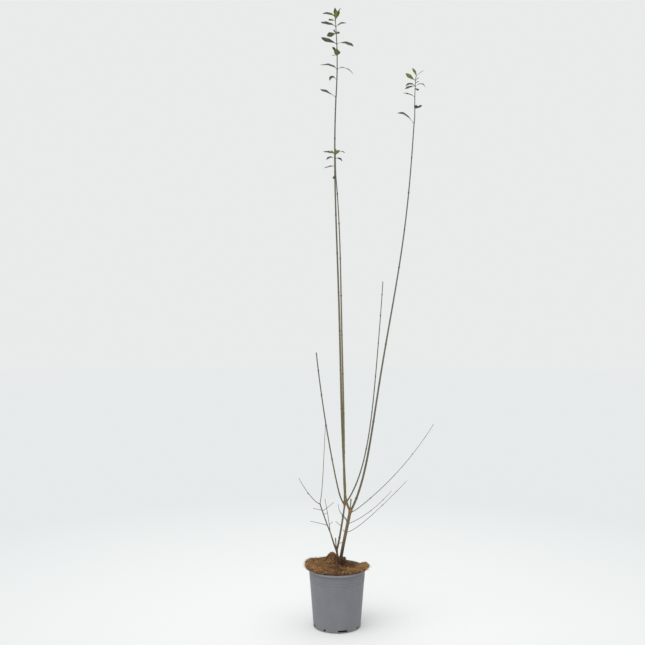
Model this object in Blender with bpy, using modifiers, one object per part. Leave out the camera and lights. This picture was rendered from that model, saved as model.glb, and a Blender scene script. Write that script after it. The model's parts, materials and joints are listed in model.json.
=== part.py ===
"""A young evergreen privet in a nursery pot: pruned low, tall and nearly bare.

Metres, +Z up. The origin is the middle of the pot's flat underside, +X is to the right of
the side it is seen from, and +Y is behind. A heading is in degrees from +X towards +Y, and
a lean is in degrees from the vertical. Every stem, shoot and leaf follows one rule: a plane
curve that leaves its root at one lean, settles to another, and drifts to a third. A long
cane also sways a little about that curve.
"""

import math
from typing import NamedTuple

import bmesh
import bpy
import numpy as np
from mathutils import Vector

PLANT = "potted_privet"

# Fits
GAP = 0.0003  # clearance between pieces that touch
WELD = 0.00001  # points closer than this are one point
REACH = 0.02  # how far a cutter runs past what it cuts

# Pot: a tapering cup with a band and a lip, and drain slots just above its foot
POT_HEIGHT = 0.162
POT_FOOT_RADIUS = 0.0647
POT_BODY_RADIUS = 0.0768  # the body's taper, carried up to the rim
POT_WALL = 0.0014
POT_FLOOR = 0.0018
POT_FOOT_ROUND = 0.003
POT_BAND_FROM = 0.124
POT_BAND_PROUD = 0.0006
POT_LIP_FROM = 0.1558
POT_LIP_PROUD = 0.0025
POT_STEPS = 48
POT_ROUGHNESS = 0.55
MOULD_SHARP_FROM = 40  # degrees between faces
SLOT_COUNT = 8
SLOT_WIDTHS = (0.027, 0.007)  # wide and narrow ones take turns
SLOT_FROM = 0.0036
SLOT_TO = 0.0088
SLOT_INWARD = 0.007
SLOT_HEADING = -77.0

# Compost, level where the stems stand on it
COMPOST_TOP = 0.1605

# Coir mat: a felted disc, cut along one side and lifted behind the stems
MAT_RADIUS = 0.0875
MAT_FRONT_TUCK = 0.0065  # it reaches less far in front
MAT_REAR_TUCK = 0.0155  # and lies inside the rim behind
MAT_THICKNESS = 0.009
MAT_RAGGED = 0.0012
MAT_LOBES = (5, 9)
MAT_TUCK_POWER = 4
MAT_STEP_IN = 0.058  # inside this it lies on the compost
MAT_STEP_OUT = 0.0725  # outside this it stands just proud of the rim
MAT_PROUD = 0.0012
MAT_SPOKES = 36
MAT_RINGS = 9
FLAP_PLACE = (-0.0128, 0.030)
FLAP_HEIGHT = 0.027
FLAP_SPREAD = 0.0185
FLAP_POWER = 2.2  # how flat its top is
CURL_PLACE = (-0.078, 0.020)  # where the edge curls up
CURL_HEIGHT = 0.0065
CURL_SPREAD = 0.028
SLIT = (
    (0.004, 0.004), (0.017, -0.024), (0.045, -0.031), (0.060, 0.012),
    (0.098, 0.024), (0.100, 0.090), (0.034, 0.098),
)

# Joints, where pairs of leaves sat: close together at a growing tip, wider below
JOINT_SPACING = 0.108
JOINT_YOUNG = 0.65
JOINT_FADE = 0.12
JOINT_AGED = 0.78  # how much of its swelling a joint has beside the next one up
JOINT_LEAST = 0.35
JOINT_HALF = 0.005
JOINT_SWELL = 0.16
JOINT_CLEAR = 0.030

# How limbs thicken
TAPER_POWER = 0.8
FLARE_REACH = 0.012
KNOT_REACH = 0.006
KNOT_BACK = 0.004  # from the pruned end to the knot's thickest place
LINE_STEPS = 160
THICK_SIDES = 2  # bevel resolution of boughs: eight sides
THIN_SIDES = 1  # and of shoots: six
THIN_BELOW = 0.0025  # width at the root
BARK_SHARP_FROM = 50  # degrees between faces

# Where a limb's tube has points: in settling distances from its root, in shares of its
# length, and in reaches below its knot
SETTLE_STATIONS = (0.3, 0.7, 1.2, 2, 3)
EVEN_STATIONS = (0.25, 0.5, 0.75)
KNOT_STATIONS = (-0.4, 0, 0.6, 1.2, 2)

# Leaf: a narrow folded blade on a short stalk
LEAF_ROWS = 6
LEAF_THICKNESS = 0.0007
LEAF_STALK = 0.10  # share of the length
LEAF_STALK_WIDTH = 0.0019
LEAF_TIP_WIDTH = 0.0010
LEAF_SLENDER = 0.29  # width as a share of length
LEAF_BROADEST = 1.35  # above 1 puts the broadest place past the middle
LEAF_FULLNESS = 0.8
LEAF_FOLD = 0.25
LEAF_SETTLE = 0.15  # share of the length over which the stalk bends to the blade

STEM_FEET = {"trunk": (0.0075, 0.0), "left_stem": (0.0051, 0.0085)}


class Limb(NamedTuple):
    """One tapering limb: where it starts, how it leans, and how thick it is."""

    parent: str  # the limb it grows from, or "" for one that stands in the compost
    share: float  # how far along the parent it starts
    heading: float
    length: float
    leans: tuple  # at the root, along the limb, and at the tip
    settle: float  # distance over which the root's lean gives way
    widths: tuple  # at the root and at the tip
    knot: float = 0.0  # how much wider the pruned end is, as a share
    flare: float = 0.0  # and the foot
    first_joint: float = 0.0  # from the tip down to the first leaf joint; 0 for none
    leafy_above: float = 0.0  # length of the leafy shoot that goes on above the tip
    sway: tuple = (0.0, 0.0)  # degrees of one slow wave, and the share of it gone at the root


LIMBS = {
    "trunk": Limb("", 0, 5, 0.1664, (2.5, 10.9, 12), 0.020, (0.0090, 0.0083), knot=0.45, flare=0.25),
    "left_stem": Limb("", 0, 200, 0.0521, (-0.8, 16.3, 8.3), 0.013, (0.0059, 0.0054), knot=0.28, flare=0.22),
    "rear_bough": Limb(
        "left_stem", 0.89, 60.8, 0.1362, (33.1, 24, 16.1), 0.018, (0.0056, 0.0048),
        knot=1.35, first_joint=0.041,
    ),
    "low_left_bough": Limb("left_stem", 0.87, 198.5, 0.0543, (28.2, 16.5, 17.1), 0.012, (0.0050, 0.0036)),
    "tall_cane": Limb(
        "rear_bough", 0.971, 140, 1.1202, (-2.6, 7.2, -3), 0.045, (0.0066, 0.0038),
        first_joint=0.109, leafy_above=0.221, flare=0.3, sway=(-2.5, 0.014),
    ),
    "middle_cane": Limb(
        "trunk", 0.958, 200, 0.9084, (33.6, -3.7, 5.8), 0.040, (0.0062, 0.0029),
        first_joint=0.042, leafy_above=0.068, sway=(1.87, -0.033),
    ),
    "right_cane": Limb(
        "trunk", 0.934, 20, 1.0848, (34.6, 5.8, 7.7), 0.124, (0.0062, 0.0030),
        first_joint=0.092, leafy_above=0.126, sway=(-3.6, 0.242),
    ),
    "left_cane": Limb(
        "rear_bough", 0.953, 215, 0.4403, (59.7, 15.2, 7.4), 0.015, (0.0039, 0.0031),
        first_joint=0.050, leafy_above=0.02,
    ),
    "inner_cane": Limb(
        "rear_bough", 0.944, -35, 0.639, (38.8, 10.6, 2.5), 0.106, (0.0041, 0.0022),
        first_joint=0.036, sway=(1.3, 0.302),
    ),
    "right_whip_high": Limb(
        "trunk", 0.93, 18, 0.3455, (83, 58, 34.4), 0.010, (0.0022, 0.0011), first_joint=0.045,
    ),
    "right_whip_middle": Limb(
        "trunk", 0.738, 48, 0.206, (86.9, 73.5, 57.9), 0.143, (0.0018, 0.0010), first_joint=0.045,
    ),
    "right_whip_low": Limb(
        "trunk", 0.593, -32, 0.250, (72.5, 48.8, 43.6), 0.028, (0.0017, 0.0010), first_joint=0.045,
    ),
    "crossing_twig": Limb("trunk", 0.66, 185, 0.076, (43, -26, 46), 0.010, (0.0042, 0.0008), sway=(32.5, -0.217)),
    "fork_stub": Limb("trunk", 0.943, 30, 0.036, (3, 5, 6), 0.010, (0.0028, 0.0031), knot=0.2),
    "foot_stub": Limb("left_stem", 0.90, 245, 0.0375, (24, 8, 8), 0.010, (0.0028, 0.0027), knot=0.2),
    "rear_bough_spur_left": Limb("rear_bough", 0.503, 190, 0.022, (58, 50, 48), 0.006, (0.0017, 0.0012)),
    "rear_bough_spur_right": Limb("rear_bough", 0.644, -10, 0.011, (85, 84, 80), 0.006, (0.0017, 0.0013)),
    "trunk_spur_high": Limb("trunk", 0.584, 200, 0.014, (60, 30, 28), 0.004, (0.0018, 0.0013)),
    "trunk_spur_low": Limb("trunk", 0.441, 195, 0.015, (95, 117, 118), 0.004, (0.0018, 0.0012)),
}

# What each limb is trimmed clear of: its parent, and the shoots it springs up beside
NEIGHBOURS = {
    "left_stem": ("trunk",),
    "rear_bough": ("left_stem",),
    "low_left_bough": ("left_stem", "rear_bough"),
    "tall_cane": ("rear_bough",),
    "middle_cane": ("trunk",),
    "right_cane": ("trunk", "middle_cane"),
    "left_cane": ("rear_bough", "tall_cane"),
    "inner_cane": ("rear_bough", "tall_cane", "left_cane"),
    "right_whip_high": ("trunk", "right_cane"),
    "right_whip_middle": ("trunk",),
    "right_whip_low": ("trunk",),
    "crossing_twig": ("trunk",),
    "fork_stub": ("trunk", "middle_cane", "right_cane"),
    "foot_stub": ("left_stem", "rear_bough", "low_left_bough"),
    "rear_bough_spur_left": ("rear_bough",),
    "rear_bough_spur_right": ("rear_bough",),
    "trunk_spur_high": ("trunk",),
    "trunk_spur_low": ("trunk",),
}

# Leafy and twiggy ends. Each goes on from a bough's tip.
SHOOTS = {
    "tall_cane_leaves": Limb("tall_cane", 1, 140, 0.221, (-5.3, -2.6, 8.3), 0.39, (0.0038, 0.0023)),
    "middle_cane_leaves": Limb("middle_cane", 1, 200, 0.067, (4.3, 1.1, 0.6), 0.014, (0.0027, 0.0018)),
    "right_cane_leaves": Limb("right_cane", 1, 20, 0.130, (10.8, -6.6, 5.4), 0.021, (0.0030, 0.0019)),
    "low_left_twigs": Limb("low_left_bough", 1, 195, 0.090, (23, 20.5, 17.5), 0.030, (0.0034, 0.0032)),
}


class Leaf(NamedTuple):
    """One leaf of a pair: its length with the stalk, and how it leans and turns."""

    length: float
    leans: tuple  # at the stalk's root, along the blade, and at the tip
    roll: float = -25.0  # turn of the blade about its own length
    slender: float = LEAF_SLENDER
    broadest: float = LEAF_BROADEST


# Leaf pairs up each shoot: height above the shoot's foot, the heading of the first leaf,
# and the two leaves. The second stands opposite. A lost leaf is None.
PAIRS = {
    "tall_cane_leaves": (
        (0.001, 150, Leaf(0.059, (28, 66, 66), -24, 0.25, 2.2), None),
        (0.048, 215, Leaf(0.034, (50, -10, 188), -45, 0.26, 1.0), None),
        (0.077, 330, Leaf(0.058, (31, 88, 142), 0, 0.20, 1.0), Leaf(0.061, (20, 64, 90), -24, 0.25, 1.1)),
        (0.117, 170, Leaf(0.016, (75, 88, 92), -30, 0.34), None),
        (0.117, 205, Leaf(0.027, (24, 34, 38), -55, 0.56), Leaf(0.015, (42, 38, 30), 55, 0.50)),
        (0.115, 262, Leaf(0.024, (78, 50, 25), 0, 0.60, 1.0), None),
        (0.147, 150, Leaf(0.056, (34, 88, 54), -50, 0.25, 1.3), Leaf(0.056, (50, 94, 124), 30, 0.28, 1.3)),
        (0.176, 200, Leaf(0.029, (82, 104, 117), -68, 0.50), Leaf(0.011, (50, 62, 72), 50, 0.90)),
        (0.1755, 130, Leaf(0.018, (28, 46, 54), 50, 0.70), None),
        (0.195, 330, Leaf(0.036, (51, 51, 110), -9, 0.27), Leaf(0.053, (31, 84, 67), -34)),
        (0.212, 205, Leaf(0.022, (68, 90, 97), -45, 0.42), None),
        (0.218, 160, Leaf(0.045, (-10, 60, 90), -40, 0.26), Leaf(0.033, (25, 12, 50), 5, 0.25)),
        (0.213, 110, Leaf(0.036, (10, 5, 2), -5, 0.25), Leaf(0.028, (34, 30, 12), 5, 0.40)),
        (0.214, 10, Leaf(0.030, (28, 24, 18), 60, 0.32), None),
    ),
    "middle_cane_leaves": (
        (0.002, 215, Leaf(0.012, (88, 105, 112), -60, 0.66, 0.9), None),
        (0.032, 135, Leaf(0.045, (80, 93, 96), -26), None),
        (0.053, 225, Leaf(0.037, (82, 66, 132), -24, 0.24, 1.0), Leaf(0.028, (78, 78, 126), 52, 0.40, 1.8)),
        (0.065, 135, Leaf(0.047, (77, 77, 77), -22, 0.26), Leaf(0.036, (62, 60, 122), 8, 0.24)),
        (0.062, 200, Leaf(0.018, (50, 52, 56), -52, 0.42), Leaf(0.018, (38, 40, 42), 60, 0.44)),
        (0.064, 275, Leaf(0.015, (25, 18, 12), 0, 0.40), None),
    ),
    "right_cane_leaves": (
        (0.001, 165, Leaf(0.060, (44, 15, 91), -24, 0.27, 2.1), None),
        (0.043, 345, Leaf(0.022, (80, 74, 64), 50, 0.46), None),
        (0.042, 295, Leaf(0.013, (70, 45, 30), 0, 0.85), None),
        (0.075, 195, Leaf(0.035, (59, 70, 84), -32, 0.27, 1.0), None),
        (0.099, 300, Leaf(0.016, (105, 124, 134), 0, 0.80), None),
        (0.103, 175, Leaf(0.031, (22, 38, 142), -44), Leaf(0.035, (52, 20, 168), -2)),
        (0.105, 190, Leaf(0.031, (98, 98, 119), -42), None),
        (0.112, 350, Leaf(0.011, (45, 60, 70), 40, 0.42), None),
        (0.120, 170, Leaf(0.034, (66, 57, 48), -62, 0.36), Leaf(0.012, (40, 50, 55))),
        (0.129, 170, Leaf(0.028, (-40, 31, 33), -58, 0.29), Leaf(0.029, (25, 50, 62), 8, 0.26)),
    ),
}

# Bare twigs of the low left shoot. The parent "stem" is the shoot itself.
TWIGS = {
    "low_shoot": Limb("stem", 0.03, 150, 0.092, (7.5, 8.5, 13), 0.03, (0.0020, 0.0013)),
    "low_shoot_barb": Limb("low_shoot", 0.58, 180, 0.011, (100, 125, 125), 0.004, (0.0014, 0.0011)),
    "low_shoot_fork": Limb("low_shoot", 0.22, 10, 0.013, (35, 50, 66), 0.006, (0.0015, 0.0011)),
    "left_twig": Limb("stem", 0.26, 190, 0.050, (70, 72, 77), 0.010, (0.0018, 0.0011)),
    "left_twig_short": Limb("stem", 0.76, 170, 0.026, (74, 78, 86), 0.010, (0.0016, 0.0011)),
    "right_twig": Limb("stem", 0.74, 345, 0.041, (58, 53, 47), 0.010, (0.0017, 0.0011)),
    "left_shoot": Limb("stem", 0.97, 200, 0.098, (70, 44, 28), 0.012, (0.0022, 0.0012)),
    "left_shoot_barb": Limb("left_shoot", 0.45, 240, 0.012, (75, 65, 60), 0.006, (0.0014, 0.0011)),
    "thin_whip": Limb("stem", 0.985, 340, 0.221, (13, 3.1, 2.7), 0.027, (0.0020, 0.0013)),
}

# Colours as red, green and blue from 0 to 255
GREY_PLASTIC = (122, 123, 128)
DARK_COMPOST = (62, 42, 30)
COIR = (112, 82, 55)
OLD_BARK = (107, 90, 70)
YOUNG_BARK = (112, 105, 84)
LEAF_GREEN = (72, 92, 48)
MATTE = 0.9


def clear_scene():
    """Empty the scene, so that the file can be run again from the text editor."""
    for old in list(bpy.data.objects):
        bpy.data.objects.remove(old, do_unlink=True)


def new_collection(name):
    """Return a collection of this name in the scene."""
    collection = bpy.data.collections.new(name)
    bpy.context.scene.collection.children.link(collection)
    return collection


def linear(channel):
    """Return a colour channel of 0 to 255 as linear light."""
    share = channel / 255
    return share / 12.92 if share <= 0.04045 else ((share + 0.055) / 1.055) ** 2.4


def paint(piece, colour, roughness):
    """Give a piece a material of its own."""
    material = bpy.data.materials.new(piece.name)
    material.use_nodes = True
    shader = material.node_tree.nodes["Principled BSDF"]
    shader.inputs["Base Color"].default_value = (*map(linear, colour), 1)
    shader.inputs["Roughness"].default_value = roughness
    shader.inputs["Metallic"].default_value = 0
    piece.data.materials.clear()
    piece.data.materials.append(material)


def evaluated_mesh(piece):
    """Return a piece's mesh as its curve or modifiers make it."""
    bpy.context.view_layer.update()
    graph = bpy.context.evaluated_depsgraph_get()
    return bpy.data.meshes.new_from_object(piece.evaluated_get(graph))


def curve_to_mesh(rod, collection):
    """Replace a curve object with a closed mesh object of the same name."""
    mesh = evaluated_mesh(rod)
    shape = bmesh.new()
    shape.from_mesh(mesh)
    bmesh.ops.remove_doubles(shape, verts=shape.verts, dist=WELD)
    bmesh.ops.recalc_face_normals(shape, faces=shape.faces)
    shape.to_mesh(mesh)
    shape.free()
    name, place = rod.name, rod.matrix_world.copy()
    bpy.data.objects.remove(rod, do_unlink=True)
    piece = bpy.data.objects.new(name, mesh)
    piece.matrix_world = place
    collection.objects.link(piece)
    return piece


def shade_round(piece, sharp_from=MOULD_SHARP_FROM):
    """Shade a round piece smooth, with its real edges kept sharp."""
    piece.data.shade_smooth()
    piece.data.set_sharp_from_angle(angle=math.radians(sharp_from))


def make_cutter(piece):
    """Show a cutter as wire and keep it out of renders."""
    piece.hide_render = True
    piece.display_type = "WIRE"
    return piece


def cut(piece, cutter):
    """Take a cutter's shape out of a piece."""
    trim = piece.modifiers.new(f"clear of {cutter.name}", "BOOLEAN")
    trim.operation = "DIFFERENCE"
    trim.solver = "EXACT"
    trim.object = cutter


def turn(name, profile, steps, collection):
    """Return a solid turned from a profile of (radius, height) about the Z axis."""
    mesh = bpy.data.meshes.new(name)
    edges = [(index, index + 1) for index in range(len(profile) - 1)]
    mesh.from_pydata([(radius, 0, height) for radius, height in profile], edges, [])
    piece = bpy.data.objects.new(name, mesh)
    collection.objects.link(piece)
    screw = piece.modifiers.new("turned", "SCREW")
    screw.axis = "Z"
    screw.steps = steps
    screw.render_steps = steps
    screw.use_merge_vertices = True
    screw.merge_threshold = WELD
    return piece


def body_radius(height):
    """Return the pot body's outside radius at a height."""
    return POT_FOOT_RADIUS + (POT_BODY_RADIUS - POT_FOOT_RADIUS) * height / POT_HEIGHT


def quarter_round(centre_radius, centre_height, radius, steps=4):
    """Return the profile points of a rounded outer edge, from its side to its underside."""
    angles = [math.radians(-90 * step / steps) for step in range(steps + 1)]
    return [(centre_radius + radius * math.cos(a), centre_height + radius * math.sin(a)) for a in angles]


def pot_profile():
    """Return the pot's section, from the middle of its floor, over the lip, to its underside."""
    inside_foot = body_radius(POT_FLOOR) - POT_WALL
    inside_rim = body_radius(POT_HEIGHT) - POT_WALL
    lip_radius = body_radius(POT_LIP_FROM) + POT_LIP_PROUD
    lip_round = POT_LIP_PROUD / 2
    band_radius = body_radius(POT_BAND_FROM) + POT_BAND_PROUD
    return [
        (0, POT_FLOOR),
        (inside_foot, POT_FLOOR),
        (inside_rim, POT_HEIGHT - lip_round),
        (inside_rim + lip_round, POT_HEIGHT),
        (lip_radius - lip_round, POT_HEIGHT),
        (lip_radius, POT_HEIGHT - lip_round),
        (lip_radius, POT_LIP_FROM + lip_round),
        (body_radius(POT_LIP_FROM) + POT_BAND_PROUD, POT_LIP_FROM),
        (band_radius, POT_BAND_FROM),
        (body_radius(POT_BAND_FROM - POT_BAND_PROUD), POT_BAND_FROM - POT_BAND_PROUD),
        *quarter_round(body_radius(POT_FOOT_ROUND) - POT_FOOT_ROUND, POT_FOOT_ROUND, POT_FOOT_ROUND),
        (0, 0),
    ]


def slot_cutter(index, cutters):
    """Return the block that opens one drain slot in the pot's foot."""
    shape = bmesh.new()
    bmesh.ops.create_cube(shape, size=1)
    inner = POT_FOOT_RADIUS - SLOT_INWARD
    outer = POT_FOOT_RADIUS + REACH
    size = (outer - inner, SLOT_WIDTHS[index % len(SLOT_WIDTHS)], SLOT_TO - SLOT_FROM)
    bmesh.ops.scale(shape, vec=size, verts=shape.verts)
    mesh = bpy.data.meshes.new(f"slot_cutter_{index}")
    shape.to_mesh(mesh)
    shape.free()
    cutter = bpy.data.objects.new(mesh.name, mesh)
    heading = math.radians(SLOT_HEADING + 360 * index / SLOT_COUNT)
    middle = (inner + outer) / 2
    height = (SLOT_FROM + SLOT_TO) / 2
    cutter.location = (middle * math.cos(heading), middle * math.sin(heading), height)
    cutter.rotation_euler.z = heading
    cutters.objects.link(cutter)
    return make_cutter(cutter)


def make_pot(parts, cutters):
    """The moulded pot, with drain slots all round its foot."""
    pot = turn("pot", pot_profile(), POT_STEPS, parts)
    for index in range(SLOT_COUNT):
        cut(pot, slot_cutter(index, cutters))
    shade_round(pot)
    paint(pot, GREY_PLASTIC, POT_ROUGHNESS)


def make_compost(parts):
    """The compost that fills the pot to just below its rim."""
    bottom = POT_FLOOR + GAP
    clear = POT_WALL + GAP
    profile = [
        (0, COMPOST_TOP),
        (body_radius(COMPOST_TOP) - clear, COMPOST_TOP),
        (body_radius(bottom) - clear, bottom),
        (0, bottom),
    ]
    compost = turn("compost", profile, POT_STEPS, parts)
    shade_round(compost)
    paint(compost, DARK_COMPOST, MATTE)


def mat_height(x, y):
    """Return the height of the mat's middle surface at a place."""
    radius = math.hypot(x, y)
    share = min(max((radius - MAT_STEP_IN) / (MAT_STEP_OUT - MAT_STEP_IN), 0), 1)
    over_rim = share * share * (3 - 2 * share)
    low = COMPOST_TOP + GAP + MAT_THICKNESS / 2
    high = POT_HEIGHT + MAT_PROUD + MAT_THICKNESS / 2
    from_flap = math.hypot(x - FLAP_PLACE[0], y - FLAP_PLACE[1]) / FLAP_SPREAD
    from_curl = math.hypot(x - CURL_PLACE[0], y - CURL_PLACE[1]) / CURL_SPREAD
    raised = FLAP_HEIGHT * math.exp(-(from_flap**FLAP_POWER)) + CURL_HEIGHT * math.exp(-(from_curl**2))
    return low + (high - low) * over_rim + raised


def mat_edge(angle):
    """Return the mat's ragged outline radius at an angle."""
    wave = sum(math.sin(lobes * angle + lobes) for lobes in MAT_LOBES) / len(MAT_LOBES)
    tuck = MAT_REAR_TUCK if math.sin(angle) > 0 else MAT_FRONT_TUCK
    return MAT_RADIUS + MAT_RAGGED * wave - tuck * math.sin(angle) ** MAT_TUCK_POWER


def outline_prism(name, outline, bottom, top, collection):
    """Return an upright prism over a flat outline."""
    curve = bpy.data.curves.new(name, "CURVE")
    curve.dimensions = "2D"
    curve.fill_mode = "BOTH"
    curve.extrude = (top - bottom) / 2
    spline = curve.splines.new("POLY")
    spline.points.add(len(outline) - 1)
    for point, (x, y) in zip(spline.points, outline):
        point.co = (x, y, 0, 1)
    spline.use_cyclic_u = True
    prism = bpy.data.objects.new(name, curve)
    prism.location.z = (bottom + top) / 2
    collection.objects.link(prism)
    bpy.context.view_layer.update()
    return curve_to_mesh(prism, collection)


def make_mat(parts, cutters, stem_cutters):
    """The coir mat: a polar grid made thick, then slit and cut clear of the stems."""
    shape = bmesh.new()
    bmesh.ops.create_grid(shape, x_segments=MAT_SPOKES, y_segments=MAT_RINGS, size=1)
    for vertex in shape.verts:
        angle = math.pi * (vertex.co.x + 1)
        radius = mat_edge(angle) * (vertex.co.y + 1) / 2
        x, y = radius * math.cos(angle), radius * math.sin(angle)
        vertex.co = (x, y, mat_height(x, y))
    bmesh.ops.remove_doubles(shape, verts=shape.verts, dist=WELD)
    bmesh.ops.recalc_face_normals(shape, faces=shape.faces)
    mesh = bpy.data.meshes.new("coir_mat")
    shape.to_mesh(mesh)
    shape.free()
    mat = bpy.data.objects.new("coir_mat", mesh)
    parts.objects.link(mat)
    felt = mat.modifiers.new("felt", "SOLIDIFY")
    felt.thickness = MAT_THICKNESS
    felt.offset = 0
    slit = outline_prism("mat_slit_cutter", SLIT, COMPOST_TOP - REACH, COMPOST_TOP + 3 * REACH, cutters)
    for cutter in (make_cutter(slit), *stem_cutters):
        cut(mat, cutter)
    shade_round(mat)
    paint(mat, COIR, MATTE)


def limb_lean(limb, distances):
    """Return a limb's lean from the vertical, in radians, at distances from its root."""
    at_root, along, at_tip = limb.leans
    degrees, gone = limb.sway
    shares = distances / limb.length
    lean = along + (at_tip - along) * shares + (at_root - along) * np.exp(-distances / limb.settle)
    return np.radians(lean + degrees * np.sin(2 * np.pi * (shares + gone)))


def centre_line(root, limb):
    """Walk up a limb from its root, and return distances and the points there."""
    distances = np.linspace(0, limb.length, LINE_STEPS + 1)
    lean = limb_lean(limb, (distances[:-1] + distances[1:]) / 2)
    step = limb.length / LINE_STEPS
    out = np.concatenate([[0], np.cumsum(np.sin(lean))]) * step
    up = np.concatenate([[0], np.cumsum(np.cos(lean))]) * step
    heading = math.radians(limb.heading)
    return distances, np.column_stack([out * math.cos(heading), out * math.sin(heading), up]) + root


def place_on(line, distance):
    """Return the point at a distance along a centre line."""
    distances, points = line
    return Vector([np.interp(distance, distances, points[:, axis]) for axis in range(3)])


def joint_places(limb):
    """Return the distances along a limb of its leaf joints."""
    if not limb.first_joint:
        return []
    places = []
    below_tip = limb.first_joint
    while limb.length - below_tip > JOINT_CLEAR:
        places.append(limb.length - below_tip)
        young = math.exp(-(below_tip + limb.leafy_above) / JOINT_FADE)
        below_tip += JOINT_SPACING * (1 - JOINT_YOUNG * young)
    return places


def limb_radius(limb, distance, joints):
    """Return a limb's radius at a distance from its root."""
    foot, tip = limb.widths
    share = distance / limb.length
    radius = (foot + (tip - foot) * share**TAPER_POWER) / 2
    swell = limb.flare * math.exp(-distance / FLARE_REACH)
    swell += limb.knot * math.exp(-(((limb.length - KNOT_BACK - distance) / KNOT_REACH) ** 2))
    for age, joint in enumerate(joints):
        if abs(joint - distance) < JOINT_HALF / 2:
            swell += JOINT_SWELL * max(JOINT_AGED**age, JOINT_LEAST)
    return radius * (1 + swell)


def limb_stations(limb, joints):
    """Return the distances along a limb where its tube has a point."""
    stations = [0, limb.length]
    stations += [limb.settle * share for share in SETTLE_STATIONS]
    stations += [limb.length * share for share in EVEN_STATIONS]
    if limb.knot:
        stations += [limb.length - KNOT_BACK - KNOT_REACH * share for share in KNOT_STATIONS]
    for joint in joints:
        stations += [joint - JOINT_HALF, joint, joint + JOINT_HALF, joint + JOINT_SPACING / 2]
    closest = min(JOINT_HALF * 0.3, limb.length / 12)
    kept = [0.0]
    for station in sorted(stations):
        if station - kept[-1] >= closest and station < limb.length - closest:
            kept.append(station)
    return kept + [limb.length]


def tube(name, points, radii, sides, collection):
    """Return a closed tube through points, with its own radius at each."""
    curve = bpy.data.curves.new(name, "CURVE")
    curve.dimensions = "3D"
    curve.bevel_depth = 1
    curve.bevel_resolution = sides
    curve.use_fill_caps = True
    spline = curve.splines.new("POLY")
    spline.points.add(len(points) - 1)
    for point, place, radius in zip(spline.points, points, radii):
        point.co = (*place, 1)
        point.radius = radius
    rod = bpy.data.objects.new(name, curve)
    collection.objects.link(rod)
    return curve_to_mesh(rod, collection)


def limb_tube(name, limb, root, sides, collection, grow=0.0):
    """Return a limb as a tube, or a little larger all round when it is to cut its neighbours."""
    line = centre_line(root, limb)
    joints = joint_places(limb)
    stations = limb_stations(limb, joints)
    points = [place_on(line, station) for station in stations]
    radii = [limb_radius(limb, station, joints) + grow for station in stations]
    points[0] += (points[0] - points[1]).normalized() * grow
    points[-1] += (points[-1] - points[-2]).normalized() * grow
    return tube(name, points, radii, sides, collection)


def limb_roots():
    """Return where each limb starts, from the stems that stand in the compost upwards."""
    roots = {}
    for name, limb in {**LIMBS, **SHOOTS}.items():
        if limb.parent:
            parent = LIMBS[limb.parent]
            line = centre_line(roots[limb.parent], parent)
            roots[name] = place_on(line, limb.share * parent.length)
        else:
            roots[name] = Vector((*STEM_FEET[name], COMPOST_TOP + GAP))
    return roots


def level_foot(name, place, cutters):
    """Return the block under a stem that gives it a flat, level foot."""
    shape = bmesh.new()
    bmesh.ops.create_cube(shape, size=REACH)
    mesh = bpy.data.meshes.new(name)
    shape.to_mesh(mesh)
    shape.free()
    block = bpy.data.objects.new(name, mesh)
    block.location = place - Vector((0, 0, REACH / 2))
    cutters.objects.link(block)
    return make_cutter(block)


def make_limbs(roots, parts, cutters):
    """The stems, boughs, whips and stubs, each trimmed clear of what it springs from."""
    used = {neighbour for names in NEIGHBOURS.values() for neighbour in names}
    used |= {limb.parent for limb in SHOOTS.values()}
    enlarged = {}
    for name in used:
        limb = LIMBS[name]
        cutter = limb_tube(f"{name}_cutter", limb, roots[name], THICK_SIDES, cutters, grow=GAP)
        enlarged[name] = make_cutter(cutter)
    for name, limb in LIMBS.items():
        sides = THIN_SIDES if limb.widths[0] < THIN_BELOW else THICK_SIDES
        piece = limb_tube(name, limb, roots[name], sides, parts)
        for neighbour in NEIGHBOURS.get(name, ()):
            cut(piece, enlarged[neighbour])
        if not limb.parent:
            cut(piece, level_foot(f"{name}_foot_cutter", roots[name], cutters))
        shade_round(piece, BARK_SHARP_FROM)
        paint(piece, OLD_BARK if limb.knot else YOUNG_BARK, MATTE)
    return enlarged


def leaf_half_width(share, width, broadest):
    """Return half a leaf's width at a share of its length: a stalk, then a narrow blade."""
    blade = max(share - LEAF_STALK, 0) / (1 - LEAF_STALK)
    lens = math.sin(math.pi * blade**broadest)
    least = LEAF_STALK_WIDTH if share < 0.5 else LEAF_TIP_WIDTH
    return max(width * max(lens, 0) ** LEAF_FULLNESS, least) / 2


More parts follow.
